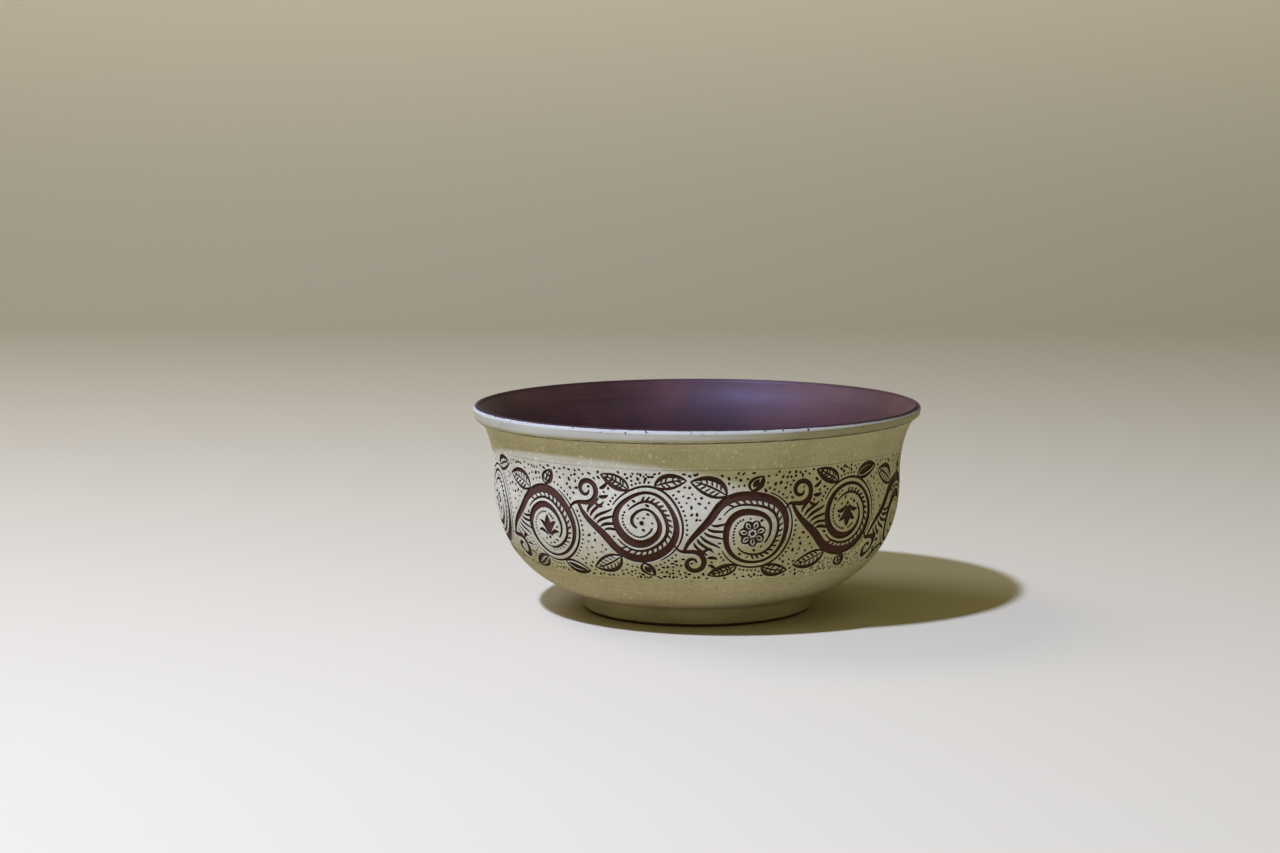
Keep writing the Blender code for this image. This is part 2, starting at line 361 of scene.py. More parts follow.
class NodeMaker:
    """Adds nodes to one tree."""

    def __init__(self, tree: bpy.types.NodeTree) -> None:
        """Works on a tree."""
        self.tree = tree

    def node(
        self,
        kind: str,
        settings: Optional[dict[str, Any]] = None,
        values: Optional[dict[Union[str, int], Any]] = None,
        output: Union[str, int] = 0,
    ) -> Socket:
        """Adds any node.

        Args:
            kind: the node's type.
            settings: its own settings, set first.
            values: numbers, colours or links for its sockets, by name or place.
            output: the name or place of the output to return.

        Returns:
            That output.
        """
        made = self.tree.nodes.new(kind)
        for key, value in (settings or {}).items():
            if key == "stops":
                self.set_stops(made.color_ramp, value)
            else:
                setattr(made, key, value)
        for key, value in (values or {}).items():
            self.plug(self.find(made.inputs, key), value)
        return Socket(self, self.find(made.outputs, output))

    @staticmethod
    def find(sockets: Any, key: Union[str, int]) -> bpy.types.NodeSocket:
        """Finds a socket in use by its name, or one by its place."""
        if isinstance(key, int):
            return sockets[key]
        return next(socket for socket in sockets if socket.name == key and socket.enabled)

    def plug(self, socket: bpy.types.NodeSocket, value: Any) -> None:
        """Links a value to a socket, or sets the socket's own number."""
        if isinstance(value, Socket):
            self.tree.links.new(value.socket, socket)
            return
        if socket.type == "RGBA" and len(value) == 3:
            value = (*value, 1.0)
        socket.default_value = value

    @staticmethod
    def set_stops(ramp: bpy.types.ColorRamp, stops: Sequence[tuple[float, Colour]]) -> None:
        """Gives a colour ramp its stops."""
        while len(ramp.elements) < len(stops):
            ramp.elements.new(1.0)
        for element, (place, colour) in zip(ramp.elements, stops):
            element.position = place
            element.color = (*colour, 1.0)


class Surface(NodeMaker):
    """A material's nodes, which work in millimetres on Object coordinates."""

    def __init__(self, name: str) -> None:
        """Starts a material with a bare Principled shader."""
        self.material = bpy.data.materials.new(name)
        self.material.use_nodes = True
        super().__init__(self.material.node_tree)
        self.shader = self.tree.nodes["Principled BSDF"]
        spot = self.node("ShaderNodeTexCoord", output="Object")
        self.spot = self.stretch(spot, (1.0 / MM,) * 3)
        parts = self.tree.nodes.new("ShaderNodeSeparateXYZ")
        self.plug(parts.inputs[0], self.spot)
        self.x, self.y, self.z = (Socket(self, socket) for socket in parts.outputs)

    def stretch(self, vector: Socket, scale: Triple) -> Socket:
        """Scales a place along each axis."""
        return self.node("ShaderNodeVectorMath", {"operation": "MULTIPLY"}, {0: vector, 1: scale})

    def noise(
        self,
        scale: float,
        detail: float = 2.0,
        rough: float = 0.5,
        squash: Optional[Triple] = None,
    ) -> Socket:
        """Makes noise over the surface.

        Args:
            scale: lumps in a millimetre.
            detail: how many finer layers are added.
            rough: strength of the finer layers.
            squash: stretches the noise along each axis.

        Returns:
            The noise, about 0 to 1.
        """
        spot = self.spot if squash is None else self.stretch(self.spot, squash)
        values = {"Vector": spot, "Scale": scale, "Detail": detail, "Roughness": rough}
        return self.node("ShaderNodeTexNoise", {"noise_dimensions": "3D"}, values)

    def grains(self, scale: float, size: float, share: float, flat: float = 1.0) -> Socket:
        """Scatters small grains.

        Args:
            scale: cells in a millimetre.
            size: a grain's radius as a share of its cell.
            share: the share of cells that hold one.
            flat: how many times longer the grains are round the bowl than up it.

        Returns:
            A mask, 1 inside a grain.
        """
        cell = self.tree.nodes.new("ShaderNodeTexVoronoi")
        self.plug(cell.inputs["Vector"], self.stretch(self.spot, (1.0, 1.0, flat)))
        cell.inputs["Scale"].default_value = scale
        distance = Socket(self, cell.outputs["Distance"])
        lot = self.node("ShaderNodeSeparateColor", None, {0: Socket(self, cell.outputs["Color"])})
        return (1.0 - distance.step(size * 0.6, size)) * lot.step(1.0 - share, 1.0 - share + 0.02)

    def hairs(self, scale: float, width: float) -> Socket:
        """Scatters fine curved lines, broken into short lengths.

        Args:
            scale: curls in a millimetre.
            width: a line's half width, as a share of the noise that it follows.

        Returns:
            A mask, 1 on a line.
        """
        line = (self.noise(scale, 1.0) - 0.5).math("ABSOLUTE")
        return (1.0 - line.step(width * 0.4, width)) * self.noise(scale * 1.6, 0.0).step(0.56, 0.62)

    def mix(self, factor: Any, first: Any, second: Any) -> Socket:
        """Blends two colours."""
        settings = {"data_type": "RGBA", "clamp_factor": True}
        values = {"Factor": factor, "A": first, "B": second}
        return self.node("ShaderNodeMix", settings, values, "Result")

    def ramp(self, value: Socket, stops: Sequence[tuple[float, Colour]]) -> Socket:
        """Turns a value into a colour."""
        return self.node("ShaderNodeValToRGB", {"stops": stops}, {0: value})

    def bump(self, height: Socket, depth: float) -> None:
        """Gives the surface a relief of a depth in millimetres."""
        values = {"Height": height, "Distance": depth * MM, "Strength": 1.0}
        self.plug(self.shader.inputs["Normal"], self.node("ShaderNodeBump", None, values))

    def dress(self, colour: Socket, roughness: Socket, **fixed: Any) -> bpy.types.Material:
        """Feeds the shader.

        Args:
            colour: the base colour.
            roughness: the roughness.
            fixed: values that are the same all over, by the shader's socket names with underscores.

        Returns:
            The material.
        """
        self.plug(self.shader.inputs["Base Color"], colour)
        self.plug(self.shader.inputs["Roughness"], roughness)
        for name, value in fixed.items():
            self.shader.inputs[name.replace("_", " ")].default_value = value
        return self.material


# Finishes


@dataclass(frozen=True)
class SlipFinish:
    """Pale slip, brushed on and fired matte.

    Flecks, specks and pits are given by the share of cells that hold one. Where thin_rise isn't 0, the
    slip is worn thin at the height thin_from and whole again thin_rise above it, both in metres.
    """

    name: str
    light: Colour = (0.640, 0.617, 0.545)
    base: Colour = (0.560, 0.533, 0.450)
    dull: Colour = (0.455, 0.425, 0.335)
    fleck: Colour = (0.82, 0.80, 0.74)
    speck: Colour = (0.070, 0.045, 0.030)
    streak_scale: float = 1.5
    streak_share: float = 0.40
    relief: float = 0.05
    matte: float = 0.70
    shine: float = 0.22
    # Painted shade: the darker colour of the small pits.
    shaded_pit: Colour = (0.27, 0.22, 0.145)
    flecks: float = 0.10
    fleck_size: float = 0.27
    fleck_strength: float = 0.5
    hairs: float = 0.5
    specks: float = 0.05
    pits: float = 0.05
    # Painted shade: the near-black colour painted on the walls of the cuts.
    cut: Colour = (0.012, 0.0050, 0.0028)
    cut_depth: str = "cut_depth"
    thin: Colour = (0.36, 0.245, 0.165)
    thin_from: float = 0.0
    thin_rise: float = 0.0
    thin_share: float = 0.6
    fleck_loss: float = 0.75

    def material(self) -> bpy.types.Material:
        """Makes the material."""
        made = Surface(self.name)
        depth = made.node("ShaderNodeAttribute", {"attribute_name": self.cut_depth}, None, "Fac")
        broad = made.noise(0.055, 3.0)
        streak = made.noise(1.0, 4.0, 0.55, (0.05, 0.05, self.streak_scale))
        grain = made.noise(1.9, 5.0, 0.75)
        tone = broad * (1.0 - self.streak_share) + streak * self.streak_share
        tone = tone * 0.54 + grain * 0.46
        colour = made.ramp(tone, [(0.38, self.dull), (0.50, self.base), (0.62, self.light)])
        fleck = made.grains(0.60, self.fleck_size, self.flecks, 2.6)
        shaded_pit = made.grains(0.72, 0.36, self.pits, 2.6)
        if self.thin_rise:
            height = (made.z - self.thin_from / MM) / (self.thin_rise / MM)
            worn = 1.0 - (height + broad - 0.5).step(0.0, 1.0)
            colour = made.mix(worn * self.thin_share, colour, self.thin)
            fleck = fleck * (1.0 - worn * self.fleck_loss)
            shaded_pit = shaded_pit * (1.0 - worn * self.fleck_loss)
        sand = made.grains(2.0, 0.34, self.flecks * 1.5)
        hair = made.hairs(0.55, 0.038) * self.hairs
        speck = made.grains(0.32, 0.075, self.specks, 1.5)
        pinhole = made.grains(0.62, 0.13, self.specks * 2.2)
        # Painted shade: the pits are painted darker than the slip around them.
        colour = made.mix(shaded_pit * 0.6, colour, self.shaded_pit)
        pale = (fleck * self.fleck_strength + sand * 0.42 + hair * 0.85).clamp()
        colour = made.mix(pale, colour, self.fleck)
        colour = made.mix(speck * 0.85, colour, self.speck)
        colour = made.mix(pinhole * 0.55, colour, self.speck)
        # Painted shade: the walls of the cuts are painted near black below the top tenth of their depth.
        colour = made.mix(depth.step(0.10, 0.35), colour, self.cut)
        rough = self.matte + grain * 0.22 - fleck * 0.15
        raised = streak * 0.6 + grain * 0.8 + fleck * 0.6 + hair * 0.4
        made.bump(raised - shaded_pit * 0.6 - pinhole * 1.2, self.relief)
        return made.dress(colour, rough, Specular_IOR_Level=self.shine)


@dataclass(frozen=True)
class LipFinish(SlipFinish):
    """Slip of the lip band: more brush marks, rubbed thin and chipped along its upper edge.

    The bowl's right side is worn the most and is painted darker as painted shade. The top of the band is
    painted greyer as painted shade, and the ragged dark line along the lower edge is dirt with painted
    shade under the band. The band's top and foot are in metres, and wear_reach and reach_round, its radius,
    in millimetres.
    """

    top: float = 0.0
    foot: float = 0.0
    worn: Colour = (0.060, 0.030, 0.022)
    # Painted shade: the greyer colour of the top of the band, which would otherwise catch too much light.
    shoulder_shade: Colour = (0.37, 0.375, 0.38)
    slope: float = 0.0
    reach_round: float = 65.0
    wear_reach: float = 1.1
    right_wear_and_shade: float = 0.70
    matte: float = 0.62
    shine: float = 0.20

    def material(self) -> bpy.types.Material:
        """Makes the material."""
        made = Surface(self.name)
        broad = made.noise(0.06, 3.0)
        streak = made.noise(1.0, 5.0, 0.6, (0.035, 0.035, 3.2))
        grain = made.noise(2.4, 3.0, 0.6)
        tone = broad * 0.45 + streak * 0.40 + grain * 0.15
        colour = made.ramp(tone, [(0.33, self.dull), (0.50, self.base), (0.66, self.light)])
        ragged = made.noise(0.35, 5.0, 0.65, (1.0, 1.0, 0.5))
        reach = (made.z - (self.top / MM - self.wear_reach)) / self.wear_reach
        # Real wear and painted shade: the bowl's right side is rubbed to bare clay near the top and painted
        # darker.
        right_side_wear_and_shade = (made.x / self.reach_round).step(0.25, 1.0) * self.right_wear_and_shade
        rubbed = (reach.clamp() ** 3.0 + (ragged - 0.62) + right_side_wear_and_shade * reach.clamp()).step(0.62, 0.80)
        chipped = made.noise(0.75, 2.0).step(0.665, 0.695) * reach.step(-0.6, 0.4)
        # Dirt and painted shade: a ragged dark line along the band's lower edge, over the overhang's shade.
        above = made.z - made.x * self.slope - self.foot / MM
        dirt_and_shade_line = (1.0 - above.step(0.0, 0.45)) * ragged.step(0.42, 0.62)
        fleck = made.grains(0.75, 0.20, self.flecks)
        pinhole = made.grains(0.50, 0.085, self.specks * 1.4)
        bare = rubbed.math("MAXIMUM", chipped)
        # Painted shade: the top of the band is painted greyer and darker.
        colour = made.mix(reach.step(0.2, 0.7) * 0.85, colour, self.shoulder_shade)
        # Painted shade: the band is darker on the bowl's right side, away from the key.
        colour = made.mix(right_side_wear_and_shade * 0.55, colour, self.thin)
        colour = made.mix(fleck * 0.7, colour, self.fleck)
        colour = made.mix(dirt_and_shade_line * 0.55, colour, self.worn)
        colour = made.mix(bare * 0.9, colour, self.worn)
        colour = made.mix(pinhole * 0.6, colour, self.speck)
        rough = self.matte + grain * 0.22
        made.bump(streak * 0.9 + grain * 0.4 - bare * 1.5 - pinhole, self.relief)
        return made.dress(colour, rough, Specular_IOR_Level=self.shine)


@dataclass(frozen=True)
class ClayFinish:
    """Dark purple-brown clay: burnished inside and over the lip, raw where the slip is cut away.

    The crest's edge_height is in metres, or 0 for a piece without a lip. A span is two depths under the
    crest in millimetres.
    """

    name: str
    deep: Colour = (0.026, 0.0098, 0.0088)
    base: Colour = (0.048, 0.0176, 0.0152)
    warm: Colour = (0.079, 0.0295, 0.0245)
    edge: Colour = (0.030, 0.0125, 0.0105)
    edge_height: float = 0.0
    raw: Colour = (0.048, 0.0175, 0.0080)
    raw_light: Colour = (0.090, 0.037, 0.0175)
    sheen: Colour = (0.66, 0.63, 1.0)
    gloss: float = 0.46
    raw_matte: float = 0.80
    shine: float = 0.45
    well_dulling: float = 0.12
    well_span: Point = (9.0, 3.5)
    rim_shade: float = 0.4
    rim_span: Point = (0.40, 0.10)
    lip_span: Point = (1.0, 0.6)
    relief: float = 0.04
    # Painted light: how much the clay's tone rises towards the bowl's right side.
    right_painted_light: float = 0.10
    reach_round: float = 65.0
    burnish: str = "burnish"

    def material(self) -> bpy.types.Material:
        """Makes the material."""
        made = Surface(self.name)
        burnish = made.node("ShaderNodeAttribute", {"attribute_name": self.burnish}, None, "Fac")
        radius = (made.x * made.x + made.y * made.y) ** 0.5
        ring_place = {0: radius * 0.9, 1: made.z * 0.9, 2: broad_turn(made)}
        rings = made.node("ShaderNodeCombineXYZ", None, ring_place)
        values = {"Vector": rings, "Scale": 1.0, "Detail": 4.0, "Roughness": 0.6}
        turned = made.node("ShaderNodeTexNoise", {"noise_dimensions": "3D"}, values)
        broad = made.noise(0.05, 3.0)
        grain = made.noise(3.0, 3.0, 0.6)
        # Painted light: the clay is lighter and warmer towards the bowl's right, where the key lights the
        # inside.
        right_light = made.x * self.right_painted_light / self.reach_round
        tone = broad * 0.55 + turned * 0.35 + grain * 0.1 + right_light
        inside = made.ramp(tone, [(0.34, self.deep), (0.5, self.base), (0.68, self.warm)])
        cut = made.ramp(made.noise(1.3, 4.0, 0.65), [(0.30, self.raw), (0.72, self.raw_light)])
        grog = made.grains(1.1, 0.22, 0.10)
        smooth = self.gloss + turned * 0.10 + grain * 0.05
        if self.edge_height:
            inside = made.mix(self.near_crest(made, self.rim_span) * self.rim_shade, inside, self.edge)
            cut = made.mix(self.near_crest(made, self.lip_span), cut, self.edge)
            smooth = smooth + (1.0 - self.near_crest(made, self.well_span)) * self.well_dulling
        colour = made.mix(burnish, made.mix(grog * 0.5, cut, self.raw_light), inside)
        rough = smooth * burnish + (1.0 - burnish) * (self.raw_matte + grain * 0.15)
        made.bump((turned * 0.5 + grain * 0.06) * burnish + grain * (1.0 - burnish), self.relief)
        tint = (*self.sheen, 1.0)
        return made.dress(colour, rough, Specular_IOR_Level=self.shine, Specular_Tint=tint)

    def near_crest(self, made: Surface, span: Point) -> Socket:
        """A step that rises to 1 between two depths under the lip's crest, in millimetres."""
        crest = self.edge_height / MM
        return made.z.step(crest - span[0], crest - span[1])


def broad_turn(made: Surface) -> Socket:
    """A slow drift round the bowl, so that throwing lines run out and start again."""
    return made.noise(0.03, 1.0) * 3.0


@dataclass(frozen=True)
class StageFinish:
    """Plain pale paint of the floor and the sweep behind it.

    The camera and reflections see one colour. The light that the paint throws back has another, duller
    one.
    """

    name: str = "pale_floor"
    seen: Colour = (0.575, 0.525, 0.42)
    sweep: Colour = (0.88, 0.79, 0.60)
    sweep_rise: float = 400.0
    sweep_glow: Colour = (0.105, 0.090, 0.062)
    thrown: Colour = (0.42, 0.35, 0.17)
    matte: float = 0.9
    shine: float = 0.2

    def material(self) -> bpy.types.Material:
        """Makes the material."""
        made = Surface(self.name)
        path = made.tree.nodes.new("ShaderNodeLightPath")
        kinds = ("Camera", "Glossy", "Transmission")
        rays = [Socket(made, path.outputs[f"Is {kind} Ray"]) for kind in kinds]
        up_the_sweep = made.z.step(0.0, self.sweep_rise)
        seen = made.mix(up_the_sweep, self.seen, self.sweep)
        colour = made.mix((rays[0] + rays[1] + rays[2]).clamp(), self.thrown, seen)
        glow = made.mix(rays[0] * up_the_sweep, (0.0, 0.0, 0.0), self.sweep_glow)
        made.plug(made.shader.inputs["Base Color"], colour)
        made.plug(made.shader.inputs["Emission Color"], glow)
        made.shader.inputs["Emission Strength"].default_value = 1.0
        made.shader.inputs["Roughness"].default_value = self.matte
        made.shader.inputs["Specular IOR Level"].default_value = self.shine
        return made.material


# Meshes


def plain_piece(name: str, source: bpy.types.Object) -> bpy.types.Object:
    """Turns an object with live modifiers into a plain mesh piece, its faces outwards.

    Args:
        name: the piece's name.
        source: the object to evaluate, which is removed.

    Returns:
        The new piece.
    """
    graph = bpy.context.evaluated_depsgraph_get()
    mesh = bpy.data.meshes.new_from_object(source.evaluated_get(graph))
    bpy.data.objects.remove(source, do_unlink=True)
    mesh.name = name
    work = bmesh.new()
    work.from_mesh(mesh)
    bmesh.ops.recalc_face_normals(work, faces=work.faces)
    work.to_mesh(mesh)
    work.free()
    piece = bpy.data.objects.new(name, mesh)
    bpy.context.scene.collection.objects.link(piece)
    return piece


def hand_over(piece: bpy.types.Object, node: str) -> None:
    """Puts a piece on the bowl's body, hides the solid that it stands for, and logs both."""
    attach(piece, BODY)
    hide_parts(node)
    LOG.info("%s: %d faces for %s", piece.name, len(piece.data.polygons), node)


class WheelTree:
    """A Geometry Nodes tree that turns a profile as on a wheel.

    The profile is a mesh of points at +X, in order. Each point may hold a sway, by which the turned
    edge wanders up and down, a burnish, which the turned surface keeps, and a tilt, by which it moves
    out and up at the bowl's right and in and down at its left. The tool's drag fades out within
    still_middle of the axis, so that the middle closes.
    """

    SWAY = "sway"
    BURNISH = "burnish"
    TILT = "tilt"
    still_middle = 0.006
    wander_turn = 4.0
    drag_turn = 1.2
    drag_rise = 900.0
    weld = 0.000002

    def __init__(self) -> None:
        """Builds the tree."""
        self.tree = bpy.data.node_groups.new("turned_on_the_wheel", "GeometryNodeTree")
        self.inputs: dict[str, str] = {}
        self.add_input("Profile", "NodeSocketGeometry")
        self.add_input("Segments", "NodeSocketInt")
        self.add_input("Points", "NodeSocketInt")
        self.add_input("Drag Depth", "NodeSocketFloat")
        self.add_input("Seed", "NodeSocketFloat")
        self.add_input("Finish", "NodeSocketMaterial")
        self.tree.interface.new_socket("Turned", in_out="OUTPUT", socket_type="NodeSocketGeometry")
        self.build()

    def add_input(self, name: str, kind: str) -> None:
        """Adds a named input and keeps its identifier."""
        socket = self.tree.interface.new_socket(name, in_out="INPUT", socket_type=kind)
        self.inputs[name] = socket.identifier

    def build(self) -> None:
        """Adds the nodes: a grid, rolled round the axis along the profile."""
        make = NodeMaker(self.tree)
        entry = self.tree.nodes.new("NodeGroupInput")
        given = {name: Socket(make, entry.outputs[name]) for name in self.inputs}
        columns = {"Vertices X": given["Segments"] + 1.0, "Vertices Y": given["Points"]}
        grid = make.node("GeometryNodeMeshGrid", None, columns, "Mesh")
        index = make.node("GeometryNodeInputIndex")
        ring = index % given["Points"]
        column = (index / given["Points"]).math("FLOOR")
        angle = column * math.tau / given["Segments"]
        spot = make.node("GeometryNodeInputPosition")
        profile = self.read(make, given["Profile"], spot, ring, "FLOAT_VECTOR")
        sway = self.read(make, given["Profile"], self.named(make, self.SWAY), ring, "FLOAT")
        burnish = self.read(make, given["Profile"], self.named(make, self.BURNISH), ring, "FLOAT")
        tilts = self.named(make, self.TILT, "FLOAT_VECTOR")
        tilt = self.read(make, given["Profile"], tilts, ring, "FLOAT_VECTOR")
        radius, height = self.split(make, profile)
        tilt_out, tilt_up = self.split(make, tilt)
        sine, cosine = angle.math("SINE"), angle.math("COSINE")

        def on_ring(ring_radius: Any, ring_height: Socket) -> Socket:
            """A place on a ring round the axis."""
            parts = {0: sine * ring_radius, 1: cosine * ring_radius, 2: ring_height}
            return make.node("ShaderNodeCombineXYZ", None, parts)

        wander = self.centred(make, on_ring(self.wander_turn, given["Seed"]), 2.2, 4.0)
        drag_place = on_ring(self.drag_turn, height * self.drag_rise + given["Seed"])
        drag = self.centred(make, drag_place, 1.0, 3.0)
        still = (radius / self.still_middle).clamp()
        turned_radius = radius + drag * given["Drag Depth"] * still + tilt_out * sine
        place = on_ring(turned_radius, height + sway * wander + tilt_up * sine)
        rolled = make.node("GeometryNodeSetPosition", None, {"Geometry": grid, "Position": place})
        kept = make.node(
            "GeometryNodeStoreNamedAttribute",
            {"data_type": "FLOAT", "domain": "POINT"},
            {"Geometry": rolled, "Name": self.BURNISH, "Value": burnish},
        )
        closed = make.node("GeometryNodeMergeByDistance", None, {"Geometry": kept, "Distance": self.weld})
        smooth = make.node("GeometryNodeSetShadeSmooth", None, {"Geometry": closed})
        real = make.node("GeometryNodeRealizeInstances", None, {"Geometry": smooth})
        finish = {"Geometry": real, "Material": given["Finish"]}
        dressed = make.node("GeometryNodeSetMaterial", None, finish)
        leave = self.tree.nodes.new("NodeGroupOutput")
        self.tree.links.new(dressed.socket, leave.inputs[0])

    @staticmethod
    def named(make: NodeMaker, name: str, kind: str = "FLOAT") -> Socket:
        """Reads what the profile's points hold under a name."""
        settings = {"data_type": kind}
        return make.node("GeometryNodeInputNamedAttribute", settings, {"Name": name}, "Attribute")

    @staticmethod
    def split(make: NodeMaker, vector: Socket) -> tuple[Socket, Socket]:
        """Takes the outward and the upward part of a vector."""
        parts = make.tree.nodes.new("ShaderNodeSeparateXYZ")
        make.plug(parts.inputs[0], vector)
        return Socket(make, parts.outputs[0]), Socket(make, parts.outputs[2])

    @staticmethod
    def read(make: NodeMaker, profile: Socket, value: Socket, ring: Socket, kind: str) -> Socket:
        """Takes a value from the profile point of a ring."""
        return make.node(
            "GeometryNodeSampleIndex",
            {"data_type": kind, "domain": "POINT"},
            {"Geometry": profile, "Value": value, "Index": ring},
        )

    @staticmethod
    def centred(make: NodeMaker, place: Socket, scale: float, detail: float) -> Socket:
        """Noise from about -1 to 1."""
        values = {"Vector": place, "Scale": scale, "Detail": detail}
        return (make.node("ShaderNodeTexNoise", {"noise_dimensions": "3D"}, values) - 0.5) * 2.0

    def turn(
        self,
        name: str,
        profile: "Profile",
        material: bpy.types.Material,
        segments: int,
        drag: float,
        seed: float,
    ) -> bpy.types.Object:
        """Turns a profile into a plain mesh piece.

        Args:
            name: the piece's name.
            profile: the outline to turn.
            material: its finish.
            segments: facets in a full turn.
            drag: depth of the turning marks, in metres.
            seed: sets the marks and wandering edges apart from those of other pieces.

        Returns:
            The piece.
        """
        guide = profile.mesh(name + "_profile")
        source = bpy.data.objects.new(name + "_profile", guide)
        bpy.context.scene.collection.objects.link(source)
        modifier = source.modifiers.new("wheel", "NODES")
        modifier.node_group = self.tree
        settings = {
            "Segments": segments,
            "Points": len(profile.points),
            "Drag Depth": drag,
            "Seed": seed,
            "Finish": material,
        }
        for key, value in settings.items():
            modifier[self.inputs[key]] = value
        piece = plain_piece(name, source)
        piece.data.set_sharp_from_angle(angle=SHARP)
        return piece


@dataclass
class Profile:
    """An outline to be turned, with what each of its points holds."""

    points: list[Point] = field(default_factory=list)
    sway: list[float] = field(default_factory=list)
    burnish: list[float] = field(default_factory=list)
    tilt: list[Triple] = field(default_factory=list)

    def add(
        self,
        points: Iterable[Sequence[float]],
        sway: float = 0.0,
        burnish: float = 0.0,
        tilt: Optional[np.ndarray] = None,
    ) -> None:
        """Adds points.

        Args:
            points: their radii and heights.
            sway: how far they wander up and down.
            burnish: how polished they are.
            tilt: how far each one moves out and up at the bowl's right, and in and down at its left.
        """
        for place, (radius, height) in enumerate(points):
            self.points.append((float(radius), float(height)))
            self.sway.append(sway)
            self.burnish.append(burnish)
            out, up = (0.0, 0.0) if tilt is None else tilt[place]
            self.tilt.append((float(out), 0.0, float(up)))

    def close(self) -> None:
        """Ends the outline where it began."""
        self.points.append(self.points[0])
        self.sway.append(self.sway[0])
        self.burnish.append(self.burnish[0])
        self.tilt.append(self.tilt[0])

    def mesh(self, name: str) -> bpy.types.Mesh:
        """Makes a mesh of the points in order."""
        mesh = bpy.data.meshes.new(name)
        edges = [(i, i + 1) for i in range(len(self.points) - 1)]
        mesh.from_pydata([(radius, 0.0, height) for radius, height in self.points], edges, [])
        for key, values in ((WheelTree.SWAY, self.sway), (WheelTree.BURNISH, self.burnish)):
            mesh.attributes.new(key, "FLOAT", "POINT").data.foreach_set("value", values)
        tilts = np.array(self.tilt).ravel()
        mesh.attributes.new(WheelTree.TILT, "FLOAT_VECTOR", "POINT").data.foreach_set("vector", tilts)
        return mesh


def arc(centre: Sequence[float], radius: float, start: float, end: float, count: int) -> list[Point]:
    """Points of an arc in the profile plane.

    Args:
        centre: radius and height of its centre.
        radius: its radius.
        start: first angle in degrees.
        end: last angle in degrees.
        count: number of points.

    Returns:
        The points.
    """
    angles = np.radians(np.linspace(start, end, count))
    return [(centre[0] + radius * math.cos(a), centre[1] + radius * math.sin(a)) for a in angles]


# Sub-assemblies


@dataclass
class ClayBody:
    """The thrown bowl, its foot ring and the luting seam between them."""

    form: BowlForm
    wall: WallCurve
    wheel: WheelTree
    segments: int = 224

    def build(self) -> None:
        """Builds the clay pieces."""
        self.bowl()
        self.foot()
        self.seam()

    def bowl(self) -> None:
        """The bowl: floor, wall, lip, and the outside that the slip lies on."""
        form = self.form
        bead = form.lip_thickness / 2.0
        heights = self.wall.place(self.wall.along, form.slip + bead)[:, 1]
        lip = float(np.interp(bead - form.height, -heights, self.wall.along))
        centre = self.wall.place(np.array([lip]), form.slip + bead)[0]
        touch = self.wall.place(np.array([lip]), form.slip)[0] - centre
        lean = math.degrees(math.atan2(touch[1], touch[0]))
        inner_waist = form.waist_radius - form.slip - form.wall
        floor = form.floor_height
        profile = Profile()
        profile.add([(0.0, floor), (form.axis_radius * 0.5, floor)], burnish=1.0)
        stations = np.linspace(math.pi / 2.0, 0.0, 70, endpoint=False)
        profile.add([form.belly(s, inner_waist, floor) for s in stations], burnish=1.0)
        shares = np.linspace(0.0, 1.0, 44, endpoint=False)
        inner_lip = centre[0] - bead
        profile.add([form.flare(s, inner_waist, inner_lip, centre[1]) for s in shares], burnish=1.0)
        profile.add(arc(centre, bead, 180.0, 100.0, 9), burnish=1.0)
        profile.add(arc(centre, bead, 90.0, lean, 11))
        along = np.linspace(lip, self.wall.length, 90)[1:]
        profile.add(self.wall.place(along, form.slip))
        pad = form.foot_radius - form.slip
        profile.add([(pad, form.pad_height), (pad * 0.5, form.pad_height), (0.0, form.pad_height)])
        clay = ClayFinish("burnished_clay", edge_height=form.height).material()
        piece = self.wheel.turn("clay_bowl_body", profile, clay, self.segments, drag=0.00004, seed=3.0)
        hand_over(piece, "clay_bowl")

    def foot(self) -> None:
        """The foot ring, with rounded standing edges."""
        form = self.form
        outer = form.foot_radius - form.slip
        inner = outer - form.foot_width
        edge = form.foot_edge
        profile = Profile()
        profile.add([(outer, form.foot_height), (outer, form.foot_height * 0.5)])
        profile.add(arc((outer - edge, edge), edge, 0.0, -90.0, 8))
        profile.add(arc((inner + edge, edge), edge, -90.0, -180.0, 8))
        profile.add([(inner, form.foot_height * 0.5), (inner, form.foot_height)])
        profile.close()
        # Painted shade: the foot ring's clay is more olive and less red than the bowl's, so its bare
        # standing edge reads as shade.
        finish = ClayFinish("foot_clay", raw=(0.055, 0.033, 0.019), raw_light=(0.095, 0.062, 0.040))
        clay = finish.material()
        piece = self.wheel.turn("foot_ring_clay", profile, clay, self.segments, drag=0.00002, seed=5.0)
        hand_over(piece, "foot_ring")

    def seam(self) -> None:
        """The slip that lutes the ring on, squeezed out a little at both sides."""
        form = self.form
        outer = form.foot_radius - form.slip - form.lute_setback
        inner = form.foot_radius - form.slip - form.foot_width + form.lute_setback
        middle = (form.foot_height + form.pad_height) / 2.0
        half = form.lute / 2.0
        profile = Profile()
        profile.add(arc((outer - half, middle), half, 90.0, -90.0, 7))
        profile.add(arc((inner + half, middle), half, -90.0, -270.0, 7))
        profile.close()
        finish = ClayFinish("luting_slip", raw=(0.17, 0.105, 0.070), raw_light=(0.25, 0.17, 0.12))
        lute = finish.material()
        piece = self.wheel.turn("foot_luting_slip", profile, lute, self.segments, drag=0.00003, seed=7.0)
        hand_over(piece, "foot_luting_seam")


